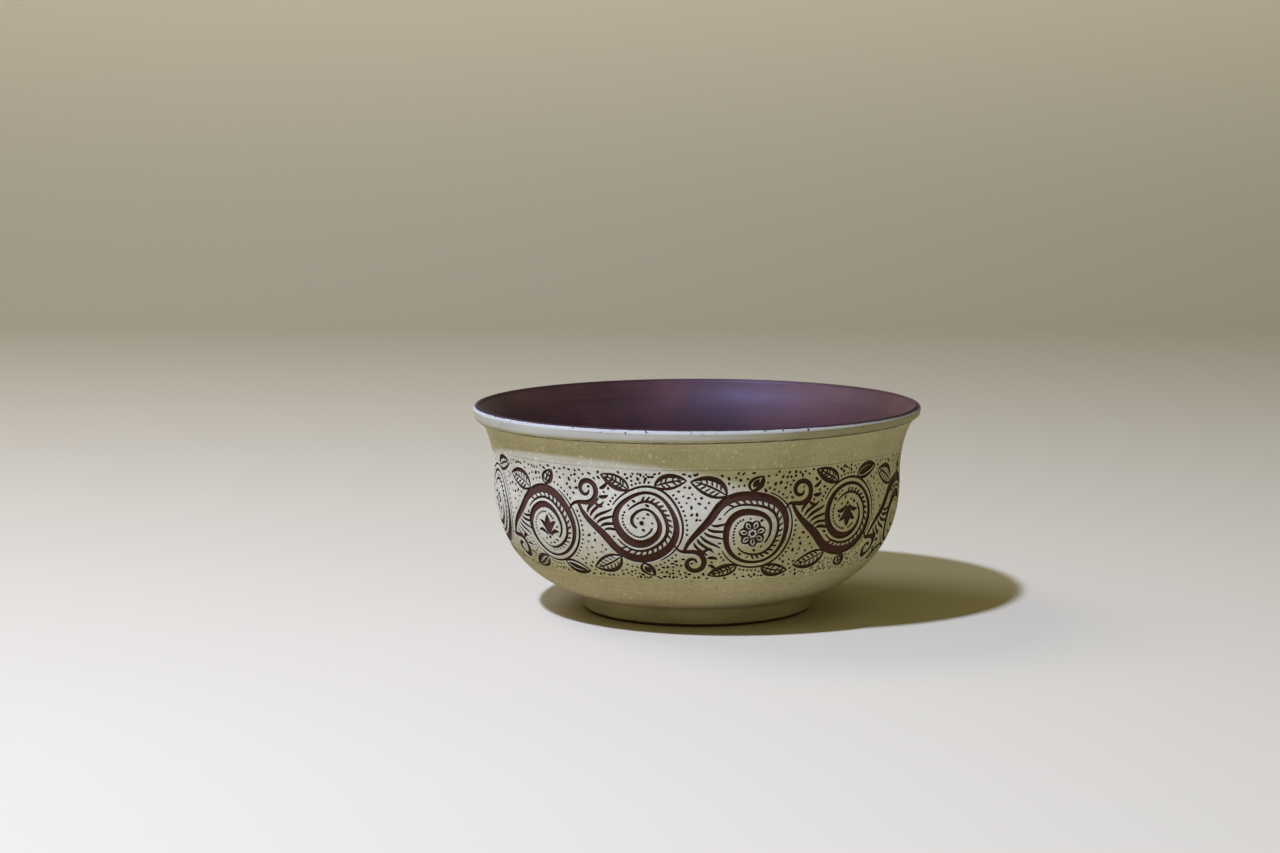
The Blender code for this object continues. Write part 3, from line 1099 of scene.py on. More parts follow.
@dataclass
class SlipCoat:
    """The plain zones of the slip coat: lip band, neck, belly and foot.

    A sway is how far an edge wanders up and down. Lengths are in metres, and edge_depth is a share of
    the slip's thickness.
    """

    form: BowlForm
    wall: WallCurve
    wheel: WheelTree
    segments: int = 288
    notch: float = 0.00013
    edge_gap: float = 0.00002
    edge_depth: float = 0.55
    top_sway: float = 0.00004
    foot_sway: float = 0.00018
    under_sway: float = 0.00022
    wiped_sway: float = 0.0002
    lip_step: Point = (0.0003, 0.00012)
    foot_tuck: float = 0.0003
    finishes: dict[Zone, SlipFinish] = field(default_factory=dict)

    def build(self) -> None:
        """Builds the plain zones."""
        form = self.form
        self.lip()
        top = self.wall.at_height(form.lip_band_foot)
        frieze_top = self.wall.at_height(form.frieze_top)
        frieze_foot = self.wall.at_height(form.frieze_foot)
        self.zone(Zone.NECK, "neck_slip", top + form.lip_score, frieze_top, drag=0.00002)
        self.zone(Zone.BELLY, "belly_slip", frieze_foot, self.wall.length, drag=0.00005)
        self.foot()

    def zone(self, zone: Zone, name: str, start: float, end: float, drag: float) -> None:
        """A zone of the coat between two scored lines, with eased edges.

        Args:
            zone: the zone.
            name: the piece's name.
            start: the upper line's distance down the wall.
            end: the lower line's distance down the wall.
            drag: depth of the turning marks.
        """
        form = self.form
        along = np.linspace(start + self.notch, end - self.notch, 40)
        depth = form.slip + form.bedding
        rise = form.lip_line_rise if zone is Zone.NECK else 0.0
        upper = np.array([start + self.edge_gap])
        lower = np.array([end - self.edge_gap])
        back = np.linspace(lower[0], upper[0], 24)
        profile = Profile()
        edge = self.wall.place(upper, form.slip * self.edge_depth)
        profile.add(edge, tilt=self.line_tilt(upper, start, rise))
        face = self.wall.place(along)
        if zone is Zone.NECK:
            fade = np.clip(1.0 - (along - start) / form.neck_cove_drop, 0.0, 1.0)
            face[:, 0] += form.neck_cove * fade**2
        profile.add(face, tilt=self.line_tilt(along, start, rise))
        profile.add(self.wall.place(lower, form.slip * self.edge_depth))
        profile.add(self.wall.place(back, depth), tilt=self.line_tilt(back, start, rise))
        profile.close()
        material = self.finishes[zone].material()
        seed = 11.0 + start * 1000.0
        piece = self.wheel.turn(name, profile, material, self.segments, drag, seed)
        node = "neck_slip_band" if zone is Zone.NECK else "belly_slip_coat"
        hand_over(piece, node)

    def line_tilt(self, along: np.ndarray, line: float, rise: float) -> np.ndarray:
        """How far points on the wall move with the scored line under the lip, which isn't level.

        Args:
            along: the points' distances down the wall.
            line: the line's distance down the wall.
            rise: how much higher the line is at the bowl's right than in front.

        Returns:
            The points' moves outwards and upwards.
        """
        fade = np.clip(1.0 - np.abs(along - line) / self.form.lip_line_fade, 0.0, 1.0)
        return self.wall.place(along - rise * fade) - self.wall.place(along)

    def lip(self) -> None:
        """The brushed band round the lip: a leaning face with a wandering, slightly tilted lower edge."""
        form = self.form
        foot = self.wall.at_height(form.lip_band_foot)
        depth = form.slip + form.bedding
        rise = np.linspace(1.0, 0.0, 9, endpoint=False)
        drop = np.linspace(0.0, form.roll_height - form.lip_band_foot, 18)
        reach = form.rim_radius - form.lip_margin
        upper = [
            (reach - form.lip_ease * form.lip_shoulder * r**2, form.roll_height + form.lip_shoulder * r)
            for r in rise
        ]
        recess = form.lip_lean * drop + form.lip_recess * (drop / drop[-1]) ** form.lip_fullness
        lower = [(reach - inward, form.roll_height - down) for inward, down in zip(recess, drop)]
        back = np.linspace(foot, 0.0, 22)
        under = self.wall.place(back, depth)
        under_tilt = self.line_tilt(back, foot, form.lip_line_rise)
        share = (drop / drop[-1])[:, None] ** 2
        face_tilt = under_tilt[0] * (0.4, 1.0) * share
        profile = Profile()
        profile.add([under[-1]], sway=self.top_sway)
        profile.add(upper[:2], sway=self.top_sway)
        profile.add(upper[2:])
        profile.add(lower[:-1], tilt=face_tilt)
        step_in = (lower[-1][0] - self.lip_step[0], lower[-1][1] + self.lip_step[1])
        profile.add([lower[-1], step_in], sway=self.foot_sway, tilt=face_tilt[[-1, -1]])
        profile.add(under[:1], sway=self.under_sway, tilt=under_tilt)
        profile.add(under[1:-1], tilt=under_tilt[1:])
        profile.close()
        material = self.finishes[Zone.LIP].material()
        piece = self.wheel.turn("lip_slip", profile, material, self.segments, drag=0.00003, seed=17.0)
        hand_over(piece, "lip_slip_band")

    def foot(self) -> None:
        """The slip on the foot's outer face: coved at its top, and wiped off along the standing edge."""
        form = self.form
        outer = form.foot_radius
        inner = outer - form.slip - form.bedding
        top = form.belly_foot - self.edge_gap
        foot = form.foot_bare
        cove = form.foot_cove
        steepest = 115.0
        centre = (outer + cove, top - cove * math.sin(math.radians(steepest)))
        profile = Profile()
        profile.add([(inner - self.foot_tuck, form.foot_height + self.foot_tuck)])
        profile.add(arc(centre, cove, steepest, 180.0, 9))
        profile.add([(outer, (top + foot) / 2.0), (outer - 0.00005, foot + 0.0006)])
        profile.add([(outer - 0.00020, foot), (inner, foot - 0.0001)], sway=self.wiped_sway)
        profile.close()
        material = self.finishes[Zone.FOOT].material()
        piece = self.wheel.turn("foot_slip", profile, material, self.segments, drag=0.00004, seed=23.0)
        hand_over(piece, "foot_slip_coat")


# The frieze's drawing, in millimetres along and up the wall


def swell(count: int, tip: float, belly: float, peak: float = 0.5, power: float = 0.8) -> np.ndarray:
    """Widths of a stroke that swells and tapers.

    Args:
        count: number of points.
        tip: width at both ends.
        belly: width at its widest.
        peak: where along the stroke it is widest.
        power: how full the swelling is.

    Returns:
        The widths.
    """
    share = np.linspace(0.0, 1.0, count)
    rise = 0.5 * share / peak
    fall = 0.5 + 0.5 * (share - peak) / (1.0 - peak)
    wave = np.sin(np.pi * np.where(share < peak, rise, fall))
    return tip + (belly - tip) * np.clip(wave, 0.0, 1.0) ** power


def bezier(first: Any, second: Any, third: Any, last: Any, count: int) -> np.ndarray:
    """Points of a cubic curve through its first and last handles."""
    t = np.linspace(0.0, 1.0, count)[:, None]
    handles = [np.asarray(handle, float) for handle in (first, second, third, last)]
    weights = ((1 - t) ** 3, 3 * t * (1 - t) ** 2, 3 * t**2 * (1 - t), t**3)
    return sum(weight * handle for weight, handle in zip(weights, handles))


def aim(degrees: float) -> tuple[np.ndarray, np.ndarray]:
    """A direction and the one square to it, on its left."""
    angle = math.radians(degrees)
    ahead = np.array([math.cos(angle), math.sin(angle)])
    return ahead, np.array([-ahead[1], ahead[0]])


@dataclass
class Stroke:
    """One stroke of the graver: a centre line with a width at each point."""

    points: np.ndarray
    widths: np.ndarray

    def outline(self) -> np.ndarray:
        """The closed outline of the cut."""
        heading = np.gradient(self.points, axis=0)
        heading /= np.linalg.norm(heading, axis=1)[:, None] + 1e-9
        left = np.stack([-heading[:, 1], heading[:, 0]], axis=1) * self.widths[:, None] / 2.0
        start = self.points[0] - heading[0] * self.widths[0] / 2.0
        end = self.points[-1] + heading[-1] * self.widths[-1] / 2.0
        return np.vstack([start[None], self.points - left, end[None], (self.points + left)[::-1]])


@dataclass
class Dot:
    """One prick of the graver: a small oval."""

    centre: np.ndarray
    radius: float
    stretch: float = 1.0
    turn: float = 0.0

    def outline(self, corners: int = 7) -> np.ndarray:
        """The closed outline of the prick."""
        angles = np.linspace(0.0, math.tau, corners, endpoint=False)
        oval = np.stack([self.radius * self.stretch * np.cos(angles), self.radius * np.sin(angles)], axis=1)
        sine, cosine = math.sin(self.turn), math.cos(self.turn)
        return self.centre + oval @ np.array([[cosine, sine], [-sine, cosine]])


@dataclass
class Scroll:
    """One scroll of the running vine, in its own frame, upside down for every other one."""

    index: int
    pitch: float
    height: float
    rng: np.random.Generator
    strokes: list[Stroke] = field(default_factory=list)
    dots: list[Dot] = field(default_factory=list)
    start_angle: float = 150.0

    def __post_init__(self) -> None:
        """Draws lots for the scroll's own shape."""
        rng = self.rng
        self.flip = 1.0 if self.index % 2 == 0 else -1.0
        self.motif = EyeMotif(self.index % len(EyeMotif))
        self.centre = np.array([rng.uniform(-0.3, 0.3), -1.6 + rng.uniform(-0.3, 0.3)])
        self.reach = 11.6 * rng.uniform(0.98, 1.03)
        curl = self.motif is EyeMotif.CURL
        self.eye = 2.0 if curl else 4.7
        self.turn = 735.0 if curl else 545.0
        self.lumps = [(wave, rng.uniform(0.0, 0.025), rng.uniform(0.0, math.tau)) for wave in (2, 3, 4)]

    def polar(self, degrees: float, offset: float = 0.0) -> np.ndarray:
        """Point on the volute at an angle, or beside it."""
        share = (self.start_angle - degrees) / self.turn
        radius = self.reach + (self.eye - self.reach) * share
        angle = math.radians(degrees)
        radius *= 1.0 + sum(size * math.sin(wave * angle + phase) for wave, size, phase in self.lumps)
        return self.centre + (radius + offset) * aim(degrees)[0]

    def cut(self, points: Any, widths: np.ndarray) -> None:
        """Adds a stroke, a little wider than planned."""
        self.strokes.append(Stroke(np.asarray(points, float), widths * self.rng.uniform(1.06, 1.26)))

    def hatch(self, start: np.ndarray, end: np.ndarray, tip: float, belly: float) -> None:
        """Adds a short straight stroke."""
        self.cut(np.linspace(start, end, 4), swell(4, tip, belly))

    def draw(self) -> None:
        """Draws the whole scroll."""
        self.vine()
        self.ribs()
        self.echo()
        self.offshoot()
        self.eye_motif()
        self.leaves()
        self.grasses()
        self.dot_rows()

    def vine(self) -> None:
        """The stem, which branches off the scroll before and winds into the volute."""
        angles = np.linspace(self.start_angle, self.start_angle - self.turn, 130)
        volute = np.array([self.polar(a) for a in angles])
        heading = volute[1] - volute[0]
        heading /= np.linalg.norm(heading)
        tail = np.array([11.6 - self.pitch, -6.6])
        self.stem = bezier(tail, tail + [2.0, 5.2], volute[0] - heading * 5.5, volute[0], 30)[:-1]
        path = np.vstack([self.stem, volute])
        share = np.linspace(0.0, 1.0, len(path))
        lean = np.concatenate([np.linspace(-1.5, -0.5, len(self.stem)), np.radians(angles - 110.0)])
        full = np.clip(np.sin(np.pi * share**0.72), 0.0, 1.0) ** 0.6
        self.cut(path, 0.5 + 1.95 * full * (0.58 + 0.42 * np.cos(lean)))

    def ribs(self) -> None:
        """A line inside the volute's first turn, joined to it by slanting ribs."""
        inner = [self.polar(a, -2.5) for a in np.linspace(146.0, -135.0, 68)]
        self.cut(inner, swell(68, 0.38, 0.85, 0.45))
        for angle in np.linspace(130.0, -84.0, 20):
            self.hatch(self.polar(angle, -1.15), self.polar(angle - 5.0, -2.2), 0.42, 0.58)

    def echo(self) -> None:
        """A fine line that follows the outside of the volute."""
        outer = [self.polar(a, 1.75) for a in np.linspace(66.0, -150.0, 56)]
        self.cut(outer, swell(56, 0.34, 0.66, 0.6))

    def offshoot(self) -> None:
        """A stem that leaves the volute and curls into the space between two scrolls."""
        root = self.polar(34.0, 0.8)
        centre = np.array([self.pitch / 2.0 - 1.0, self.height / 2.0 - 6.4])
        angles = np.linspace(-100.0, 350.0, 48)
        radii = np.linspace(3.7, 0.8, 48)
        curl = np.array([centre + r * aim(a)[0] for a, r in zip(angles, radii)])
        heading = curl[1] - curl[0]
        heading /= np.linalg.norm(heading)
        stem = bezier(root, root + [0.9, 2.4], curl[0] - heading * 2.2, curl[0], 14)[:-1]
        path = np.vstack([stem, curl])
        self.cut(path, swell(len(path), 0.45, 1.45, 0.40, 0.9))
        for angle in (-52.0, -22.0, 8.0):
            ahead, left = aim(angle)
            base = centre + ahead * 4.3
            tip = centre + ahead * 6.6 + left * 1.4
            self.cut(bezier(base, base + ahead * 0.9, tip - left * 0.6, tip, 9), swell(9, 0.35, 0.95, 0.35))

    def eye_motif(self) -> None:
        """What fills the volute's eye."""
        if self.motif is EyeMotif.ROSETTE:
            self.rosette()
        elif self.motif is EyeMotif.PALMETTE:
            self.palmette()
        else:
            self.dots.append(Dot(self.centre, 0.75))

    def rosette(self) -> None:
        """A flower of seven outlined petals."""
        petals = 7
        middle = self.centre
        for petal in range(petals):
            ahead, left = aim(360.0 * petal / petals + 17.0)
            for side in (1.0, -1.0):
                wide = left * side
                first = middle + ahead * 1.2
                last = middle + ahead * 3.8
                near = middle + ahead * 1.9 + wide * 1.4
                far = middle + ahead * 3.2 + wide * 1.35
                self.cut(bezier(first, near, far, last, 13), swell(13, 0.36, 0.72))
            self.hatch(middle + ahead * 1.8, middle + ahead * 2.9, 0.36, 0.66)
        self.dots.append(Dot(middle, 0.75))

    def palmette(self) -> None:
        """A fan of five solid lobes."""
        base = self.centre + [0.0, -3.1]
        lobes = (
            (0.0, 6.6, 1.9),
            (29.0, 5.7, 1.35),
            (-29.0, 5.7, 1.35),
            (60.0, 4.4, 1.1),
            (-60.0, 4.4, 1.1),
        )
        for spread, length, width in lobes:
            ahead, left = aim(90.0 + spread)
            bend = left * 0.8 * np.sign(spread)
            near = base + ahead * length * 0.45 - bend
            far = base + ahead * length * 0.8 - bend
            path = bezier(base + ahead * 0.9, near, far, base + ahead * length + bend * 0.6, 16)
            self.cut(path, swell(16, 0.36, width, 0.58, 1.1))
        self.dots.append(Dot(base, 0.6))

    def leaf(
        self,
        base: np.ndarray,
        degrees: float,
        length: float,
        width: float,
        bend: float,
        solid: bool,
    ) -> None:
        """A pointed leaf.

        Args:
            base: where it grows from.
            degrees: its direction.
            length: its length.
            width: its greatest width.
            bend: how far its tip leans to the left.
            solid: fills it with one broad cut, in place of veins.
        """
        ahead, left = aim(degrees + self.rng.uniform(-5.0, 5.0))
        tip = base + ahead * length + left * bend
        count = max(12, int(length * 2.6))
        under = bezier(
            base,
            base + ahead * length * 0.22 - left * width * 0.66,
            base + ahead * length * 0.72 - left * width * 0.52,
            tip,
            count,
        )
        over = bezier(
            base,
            base + ahead * length * 0.18 + left * width * 0.66,
            base + ahead * length * 0.70 + left * (width * 0.55 + bend * 0.3),
            tip,
            count,
        )
        self.cut(under, swell(count, 0.40, 1.25, 0.55))
        self.cut(over, swell(count, 0.40, 0.80, 0.4))
        middle = (under + over) / 2.0
        if solid:
            self.cut(middle[3:-3], swell(count - 6, 0.40, width * 0.44, 0.45, 0.9))
            return
        self.cut(middle[2:-3], swell(count - 5, 0.34, 0.58))
        veins = max(3, round(length * 0.52))
        for vein in range(veins):
            root = int((0.24 + 0.5 * vein / (veins - 1)) * (count - 1))
            reach = min(root + 3, count - 2)
            for side in (under, over):
                across = side[reach] - middle[root]
                self.hatch(middle[root] + across * 0.22, middle[root] + across * 0.78, 0.36, 0.52)

    def leaves(self) -> None:
        """Leaves round the volute."""
        dark = self.motif is EyeMotif.PALMETTE
        self.leaf(self.polar(124.0, 1.3), 146.0, 10.2, 5.0, 2.4, False)
        self.leaf(self.polar(92.0, 1.5), 66.0, 4.9, 3.6, -1.2, not dark)
        self.leaf(self.polar(-70.0, 2.2), -26.0, 8.6, 3.8, 1.6, dark)
        self.leaf(self.polar(-112.0, 2.1), -150.0, 8.8, 3.8, -1.2, False)

    def grasses(self) -> None:
        """Long blades that spring from the stem, on its lower side."""
        for blade in range(6):
            root = self.stem[8 + 3 * blade] + np.array([0.95, -0.75])
            length = 6.4 - 0.55 * abs(blade - 2)
            ahead, left = aim(-66.0 + 9.0 * blade + self.rng.uniform(-4.0, 4.0))
            tip = root + ahead * length + left * 1.6
            path = bezier(root, root + ahead * length * 0.4 - left * 0.5, tip - ahead * 1.6, tip, 12)
            self.cut(path, swell(12, 0.34, 0.82, 0.3))

    def dot_rows(self) -> None:
        """Rows of dots within the volute and beside it."""
        for angle in np.arange(-150.0, -335.0, -9.5):
            self.dots.append(Dot(self.polar(angle, -2.1), 0.38))
        for angle in np.arange(150.0, -160.0, -6.2):
            self.dots.append(Dot(self.polar(angle, 2.9), 0.40))

    def on_band(self, points: np.ndarray) -> np.ndarray:
        """Moves points from the scroll's frame to the frieze's."""
        points = np.asarray(points, float)
        along = (self.index + 0.5) * self.pitch + points[..., 0]
        return np.stack([along, self.height / 2.0 + self.flip * points[..., 1]], axis=-1)


@dataclass
class FriezeDrawing:
    """The running vine all round the bowl, with a stippled ground."""

    length: float
    height: float
    scrolls: int = 12
    seed: int = 7
    tries: int = 30000
    margin: float = 0.8
    cell: float = 2.0
    large_dot: float = 0.5
    dot_room: float = 0.28
    stipple_room: float = 0.66

    def __post_init__(self) -> None:
        """Starts an empty drawing."""
        self.rng = np.random.default_rng(self.seed)
        self.strokes: list[Stroke] = []
        self.dots: list[Dot] = []

    def outlines(self) -> list[np.ndarray]:
        """Draws everything and returns the outlines of all cuts."""
        rows: list[Dot] = []
        for index in range(self.scrolls):
            scroll = Scroll(index, self.length / self.scrolls, self.height, self.rng)
            scroll.draw()
            self.strokes += [Stroke(scroll.on_band(s.points), s.widths) for s in scroll.strokes]
            rows += [Dot(scroll.on_band(d.centre), d.radius) for d in scroll.dots]
        self.index_strokes()
        self.dots = [dot for dot in rows if self.has_room(dot)]
        self.stipple()
        return [stroke.outline() for stroke in self.strokes] + [dot.outline() for dot in self.dots]

    def index_strokes(self) -> None:
        """Sorts the strokes' points for quick searches, also across the seam."""
        points = np.vstack([stroke.points for stroke in self.strokes])
        halves = np.concatenate([stroke.widths for stroke in self.strokes]) / 2.0
        shifts = (-self.length, 0.0, self.length)
        self.halves = np.tile(halves, len(shifts))
        self.tree = KDTree(len(self.halves))
        place = 0
        for shift in shifts:
            for x, y in points:
                self.tree.insert((x + shift, y, 0.0), place)
                place += 1
        self.tree.balance()

    def clearance(self, spot: np.ndarray, reach: float = 3.0) -> float:
        """Distance from a spot to the nearest stroke's edge, up to a reach."""
        near = self.tree.find_range((spot[0], spot[1], 0.0), reach)
        return min((distance - self.halves[place] for _, place, distance in near), default=reach)

    def has_room(self, dot: Dot) -> bool:
        """Whether a dot is the large one of a motif, or else stands clear of the strokes."""
        is_large = dot.radius > self.large_dot
        return is_large or self.clearance(dot.centre) > dot.radius + self.dot_room

    def cell_of(self, spot: np.ndarray) -> tuple[int, int]:
        """The search cell that a spot lies in."""
        return int(spot[0] // self.cell), int(spot[1] // self.cell)

    def stipple(self) -> None:
        """Pricks the free ground, closest along the two scored lines and denser in some places."""
        cells: dict[tuple[int, int], list[np.ndarray]] = {}
        for dot in self.dots:
            cells.setdefault(self.cell_of(dot.centre), []).append(dot.centre)
        for _ in range(self.tries):
            spot = self.rng.uniform((0.0, self.margin), (self.length, self.height - self.margin))
            border = min(spot[1], self.height - spot[1])
            round_angle = spot[0] * math.tau / self.length
            drift = 0.13 * (2.0 + math.sin(round_angle * 12.0 + 1.0) + math.sin(round_angle * 7.0))
            spacing = 0.74 + 0.05 * border + drift
            home = self.cell_of(spot)
            around = [(home[0] + i, home[1] + j) for i in (-1, 0, 1) for j in (-1, 0, 1)]
            others = [other for key in around for other in cells.get(key, [])]
            if any(np.hypot(*(spot - other)) < spacing for other in others):
                continue
            if self.clearance(spot) < self.stipple_room:
                continue
            cells.setdefault(home, []).append(spot)
            size, stretch, turn = self.rng.uniform((0.31, 1.0, 0.0), (0.47, 1.7, math.pi))
            self.dots.append(Dot(spot, size, stretch, turn))


@dataclass
class FriezeBand:
    """The slip of the frieze, with the drawing cut through it to the clay.

    The grid's pitch and the slope, by which the walls of the cuts lean in, are in millimetres.
    """

    form: BowlForm
    wall: WallCurve
    finish: SlipFinish
    grid: float = 1.7
    slope: float = 0.12
    seam_slack: float = 1e-5
    weld_digits: int = 4

    def build(self) -> None:
        """Builds the band."""
        form = self.form
        self.top = self.wall.at_height(form.frieze_top)
        self.foot = self.wall.at_height(form.frieze_foot)
        self.height = (self.foot - self.top) / MM
        self.ring = self.wall.place(np.array([(self.top + self.foot) / 2.0]))[0][0]
        self.length = math.tau * self.ring / MM
        outlines = FriezeDrawing(self.length, self.height).outlines()
        spots, faces = self.triangulate(outlines)
        mesh = self.shell(spots, faces)
        mesh.materials.append(self.finish.material())
        piece = bpy.data.objects.new("frieze_slip", mesh)
        bpy.context.scene.collection.objects.link(piece)
        hand_over(piece, "frieze_slip_band")

    def triangulate(self, outlines: list[np.ndarray]) -> tuple[np.ndarray, np.ndarray]:
        """Fills the band between the cuts with triangles.

        Args:
            outlines: closed outlines of the cuts, in millimetres.

        Returns:
            The points, and the triangles that stay slip.
        """
        columns = int(round(self.length / self.grid))
        rows = int(round(self.height / self.grid))
        xs = np.linspace(0.0, self.length, columns + 1)
        ys = np.linspace(0.0, self.height, rows + 1)
        points = [Vector((x, y)) for x in xs for y in ys]
        frame_faces = [[0, columns * (rows + 1), columns * (rows + 1) + rows, rows]]
        edges = []
        for column in range(columns):
            for row in (0, rows):
                edges.append((column * (rows + 1) + row, (column + 1) * (rows + 1) + row))
        for row in range(rows):
            for column in (0, columns):
                edges.append((column * (rows + 1) + row, column * (rows + 1) + row + 1))
        cut_faces = []
        for outline in outlines:
            low, high = outline[:, 0].min(), outline[:, 0].max()
            for shift in (-self.length, 0.0, self.length):
                if high + shift < 0.0 or low + shift > self.length:
                    continue
                first = len(points)
                points += [Vector((x + shift, y)) for x, y in outline]
                ring = list(range(first, len(points)))
                area = np.cross(outline, np.roll(outline, -1, axis=0)).sum()
                cut_faces.append(ring if area > 0 else ring[::-1])
        all_triangles = 0
        epsilon = 1e-6
        drawn = frame_faces + cut_faces
        filled = delaunay_2d_cdt(points, edges, drawn, all_triangles, epsilon, True)
        spots, _, faces, _, _, origins = filled
        kept = [face for face, origin in zip(faces, origins) if origin == [0] and len(face) == 3]
        return np.array([tuple(spot) for spot in spots]), np.array(kept)

    def shell(self, spots: np.ndarray, faces: np.ndarray) -> bpy.types.Mesh:
        """Wraps the band round the bowl and gives it its thickness.

        Args:
            spots: points along and up the band, in millimetres.
            faces: its triangles.

        Returns:
            The closed mesh.
        """
        around = np.mod(spots[:, 0] + self.seam_slack, self.length)
        keys = np.round(np.stack([around, spots[:, 1]], axis=1), self.weld_digits)
        _, first, joined = np.unique(keys, axis=0, return_index=True, return_inverse=True)
        spots = spots[first]
        faces = joined.reshape(-1)[faces]
        one, two, three = faces.T
        faces = faces[(one != two) & (two != three) & (one != three)]
        used, faces = np.unique(faces, return_inverse=True)
        spots = spots[used]
        faces = faces.reshape(-1, 3)
        edges = np.vstack([faces[:, [0, 1]], faces[:, [1, 2]], faces[:, [2, 0]]])
        present = set(map(tuple, edges))
        rim = np.array([edge for edge in map(tuple, edges) if (edge[1], edge[0]) not in present])
        count = len(spots)
        lower_spots = spots + self.lean(spots, rim)
        outer = self.wrap(spots, np.zeros(count))
        inner = self.wrap(lower_spots, np.full(count, self.form.slip + self.form.bedding))
        walls = np.stack([rim[:, 1], rim[:, 0], rim[:, 0] + count, rim[:, 1] + count], axis=1)
        mesh = bpy.data.meshes.new("frieze_slip")
        polygons = faces.tolist() + (faces[:, ::-1] + count).tolist() + walls.tolist()
        mesh.from_pydata(np.vstack([outer, inner]).tolist(), [], polygons)
        depths = np.repeat([0.0, 1.0], count)
        mesh.attributes.new(self.finish.cut_depth, "FLOAT", "POINT").data.foreach_set("value", depths)
        mesh.validate()
        mesh.shade_smooth()
        mesh.set_sharp_from_angle(angle=SHARP)
        return mesh

    def lean(self, spots: np.ndarray, rim: np.ndarray) -> np.ndarray:
        """How far the foot of a cut's wall leans into the cut."""
        way = np.zeros_like(spots)
        run = spots[rim[:, 1]] - spots[rim[:, 0]]
        run[:, 0] = (run[:, 0] + self.length / 2.0) % self.length - self.length / 2.0
        out = np.stack([run[:, 1], -run[:, 0]], axis=1)
        out /= np.linalg.norm(out, axis=1)[:, None] + 1e-9
        for end in (0, 1):
            np.add.at(way, rim[:, end], out)
        size = np.linalg.norm(way, axis=1)[:, None]
        return self.slope * way / np.maximum(size, 1e-9) * (size > 0.2)

    def wrap(self, spots: np.ndarray, depth: np.ndarray) -> np.ndarray:
        """Places points of the band on the bowl, at a depth below its surface."""
        along = self.foot - spots[:, 1] * MM
        place = self.wall.place(along, depth)
        angle = spots[:, 0] * MM / self.ring
        sideways, outward = place[:, 0] * np.sin(angle), place[:, 0] * np.cos(angle)
        return np.stack([sideways, -outward, place[:, 1]], axis=1)


# Studio


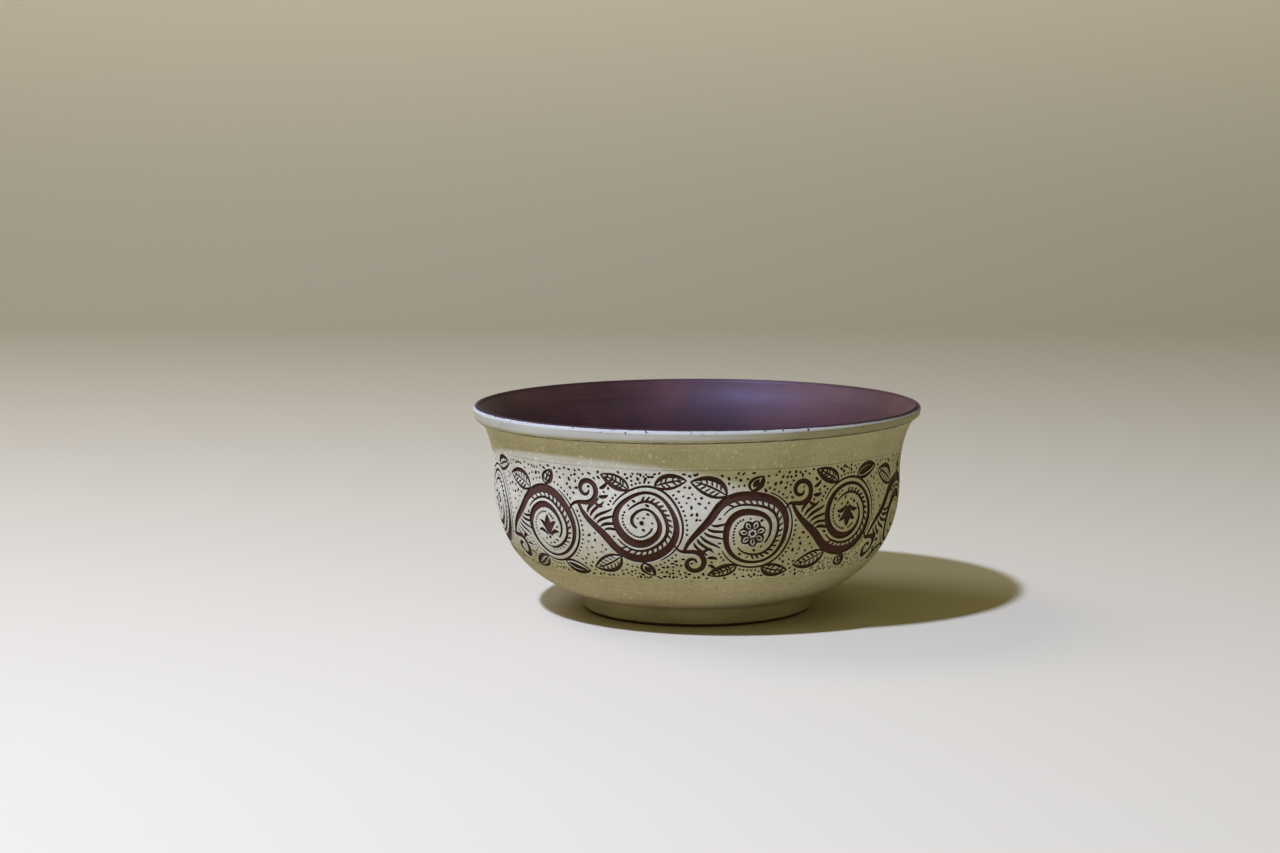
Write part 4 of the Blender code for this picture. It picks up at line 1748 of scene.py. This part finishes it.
@dataclass
class Studio:
    """The floor, the sweep behind it, the lights and the camera."""

    camera_place: Triple = (0.0, -0.832, 0.1576)
    camera_tilt: float = 82.83
    lens: float = 81.06
    sensor: float = 36.0
    shift: float = -56.9 / 1280.0
    floor_front: float = -2.5
    floor_back: float = 0.9
    sweep_radius: float = 0.5
    sweep_height: float = 1.6
    half_width: float = 3.0
    fill_colour: Colour = (1.0, 0.92, 0.38)
    fill_strength: float = 0.25

    def build(self) -> None:
        """Sets the stage."""
        self.floor()
        self.lights()
        self.camera()

    def floor(self) -> None:
        """A floor that sweeps up into a backdrop."""
        radius = self.sweep_radius
        line = [(self.floor_front, 0.0), (self.floor_back, 0.0)]
        line += arc((self.floor_back, radius), radius, -90.0, 0.0, 25)
        line.append((self.floor_back + radius, self.sweep_height))
        mesh = bpy.data.meshes.new("floor_sweep")
        points = [(side * self.half_width, y, z) for y, z in line for side in (-1.0, 1.0)]
        faces = [(2 * i, 2 * i + 1, 2 * i + 3, 2 * i + 2) for i in range(len(line) - 1)]
        mesh.from_pydata(points, [], faces)
        mesh.shade_smooth()
        mesh.materials.append(StageFinish().material())
        sweep = bpy.data.objects.new("floor_sweep", mesh)
        bpy.context.scene.collection.objects.link(sweep)

    def lamp(
        self,
        name: str,
        place: Triple,
        target: Triple,
        size: float,
        power: float,
        colour: Colour,
    ) -> None:
        """Adds a square soft lamp.

        Args:
            name: the lamp's name.
            place: where it stands.
            target: what it faces.
            size: its side in metres.
            power: its power in watts.
            colour: its colour.
        """
        data = bpy.data.lights.new(name, "AREA")
        data.size = size
        data.energy = power
        data.color = colour
        lamp = bpy.data.objects.new(name, data)
        lamp.location = place
        lamp.rotation_euler = (Vector(target) - Vector(place)).to_track_quat("-Z", "Y").to_euler()
        bpy.context.scene.collection.objects.link(lamp)

    def lights(self) -> None:
        """A small cool key from the upper left, a broad lamp from the left behind, and a warm fill."""
        target = (0.0, 0.0, 0.03)
        self.lamp(
            "key",
            place=(-0.397, -0.457, 0.863),
            target=target,
            size=0.055,
            power=17.5,
            colour=(0.62, 0.70, 1.0),
        )
        self.lamp(
            "side",
            place=(-0.80, 0.42, 1.00),
            target=target,
            size=0.60,
            power=4.4,
            colour=(1.0, 0.95, 0.97),
        )
        world = bpy.data.worlds.new("even_fill")
        world.use_nodes = True
        back = world.node_tree.nodes["Background"]
        back.inputs["Color"].default_value = (*self.fill_colour, 1.0)
        back.inputs["Strength"].default_value = self.fill_strength
        bpy.context.scene.world = world

    def camera(self) -> None:
        """The camera at the photograph's place."""
        data = bpy.data.cameras.new("camera")
        data.lens = self.lens
        data.sensor_width = self.sensor
        data.shift_x = self.shift
        data.clip_start = 0.01
        camera = bpy.data.objects.new("camera", data)
        camera.location = self.camera_place
        camera.rotation_euler = (math.radians(self.camera_tilt), 0.0, 0.0)
        bpy.context.scene.collection.objects.link(camera)
        bpy.context.scene.camera = camera
        bpy.context.scene.view_settings.view_transform = "Standard"


def slip_finishes(form: BowlForm) -> dict[Zone, SlipFinish]:
    """The finish of each zone of the slip coat."""
    return {
        Zone.LIP: LipFinish(
            "lip_slip",
            light=(0.555, 0.55, 0.52),
            base=(0.49, 0.485, 0.455),
            dull=(0.395, 0.385, 0.345),
            thin=(0.30, 0.27, 0.20),
            slope=form.lip_line_rise / form.rim_radius,
            top=form.lip_slip_top,
            foot=form.lip_band_foot,
        ),
        Zone.NECK: SlipFinish("neck_slip", hairs=1.0, flecks=0.09),
        # Painted light: the frieze's slip is a little lighter than the neck's, where the bowl is lit most.
        Zone.FRIEZE: SlipFinish(
            "frieze_slip",
            light=(0.665, 0.645, 0.580),
            base=(0.585, 0.560, 0.482),
            streak_share=0.3,
        ),
        # Painted shade: the belly's slip is darker and yellower than the neck's, on the lower bowl.
        Zone.BELLY: SlipFinish(
            "belly_slip",
            light=(0.625, 0.590, 0.490),
            base=(0.545, 0.505, 0.400),
            dull=(0.430, 0.385, 0.285),
            streak_scale=2.2,
            relief=0.22,
            flecks=0.30,
            fleck_size=0.34,
            fleck_strength=0.60,
            specks=0.09,
            pits=0.22,
            thin_from=form.belly_foot,
            thin_rise=0.005,
        ),
        # Painted shade: the foot's slip and flecks are much darker and warmer than the belly's, under the
        # belly.
        Zone.FOOT: SlipFinish(
            "foot_slip",
            light=(0.53, 0.475, 0.36),
            base=(0.45, 0.395, 0.285),
            dull=(0.36, 0.305, 0.205),
            fleck=(0.50, 0.45, 0.34),
            flecks=0.05,
            hairs=0.0,
            pits=0.0,
        ),
    }


def main() -> None:
    """Builds the bowl from the clay outwards, then the stage."""
    logging.basicConfig(level=logging.INFO, format="%(name)s: %(message)s")
    form = BowlForm.from_frame()
    wall = WallCurve(form)
    wheel = WheelTree()
    finishes = slip_finishes(form)
    ClayBody(form, wall, wheel).build()
    SlipCoat(form, wall, wheel, finishes=finishes).build()
    FriezeBand(form, wall, finishes[Zone.FRIEZE]).build()
    Studio().build()


if __name__ == "__main__":
    main()
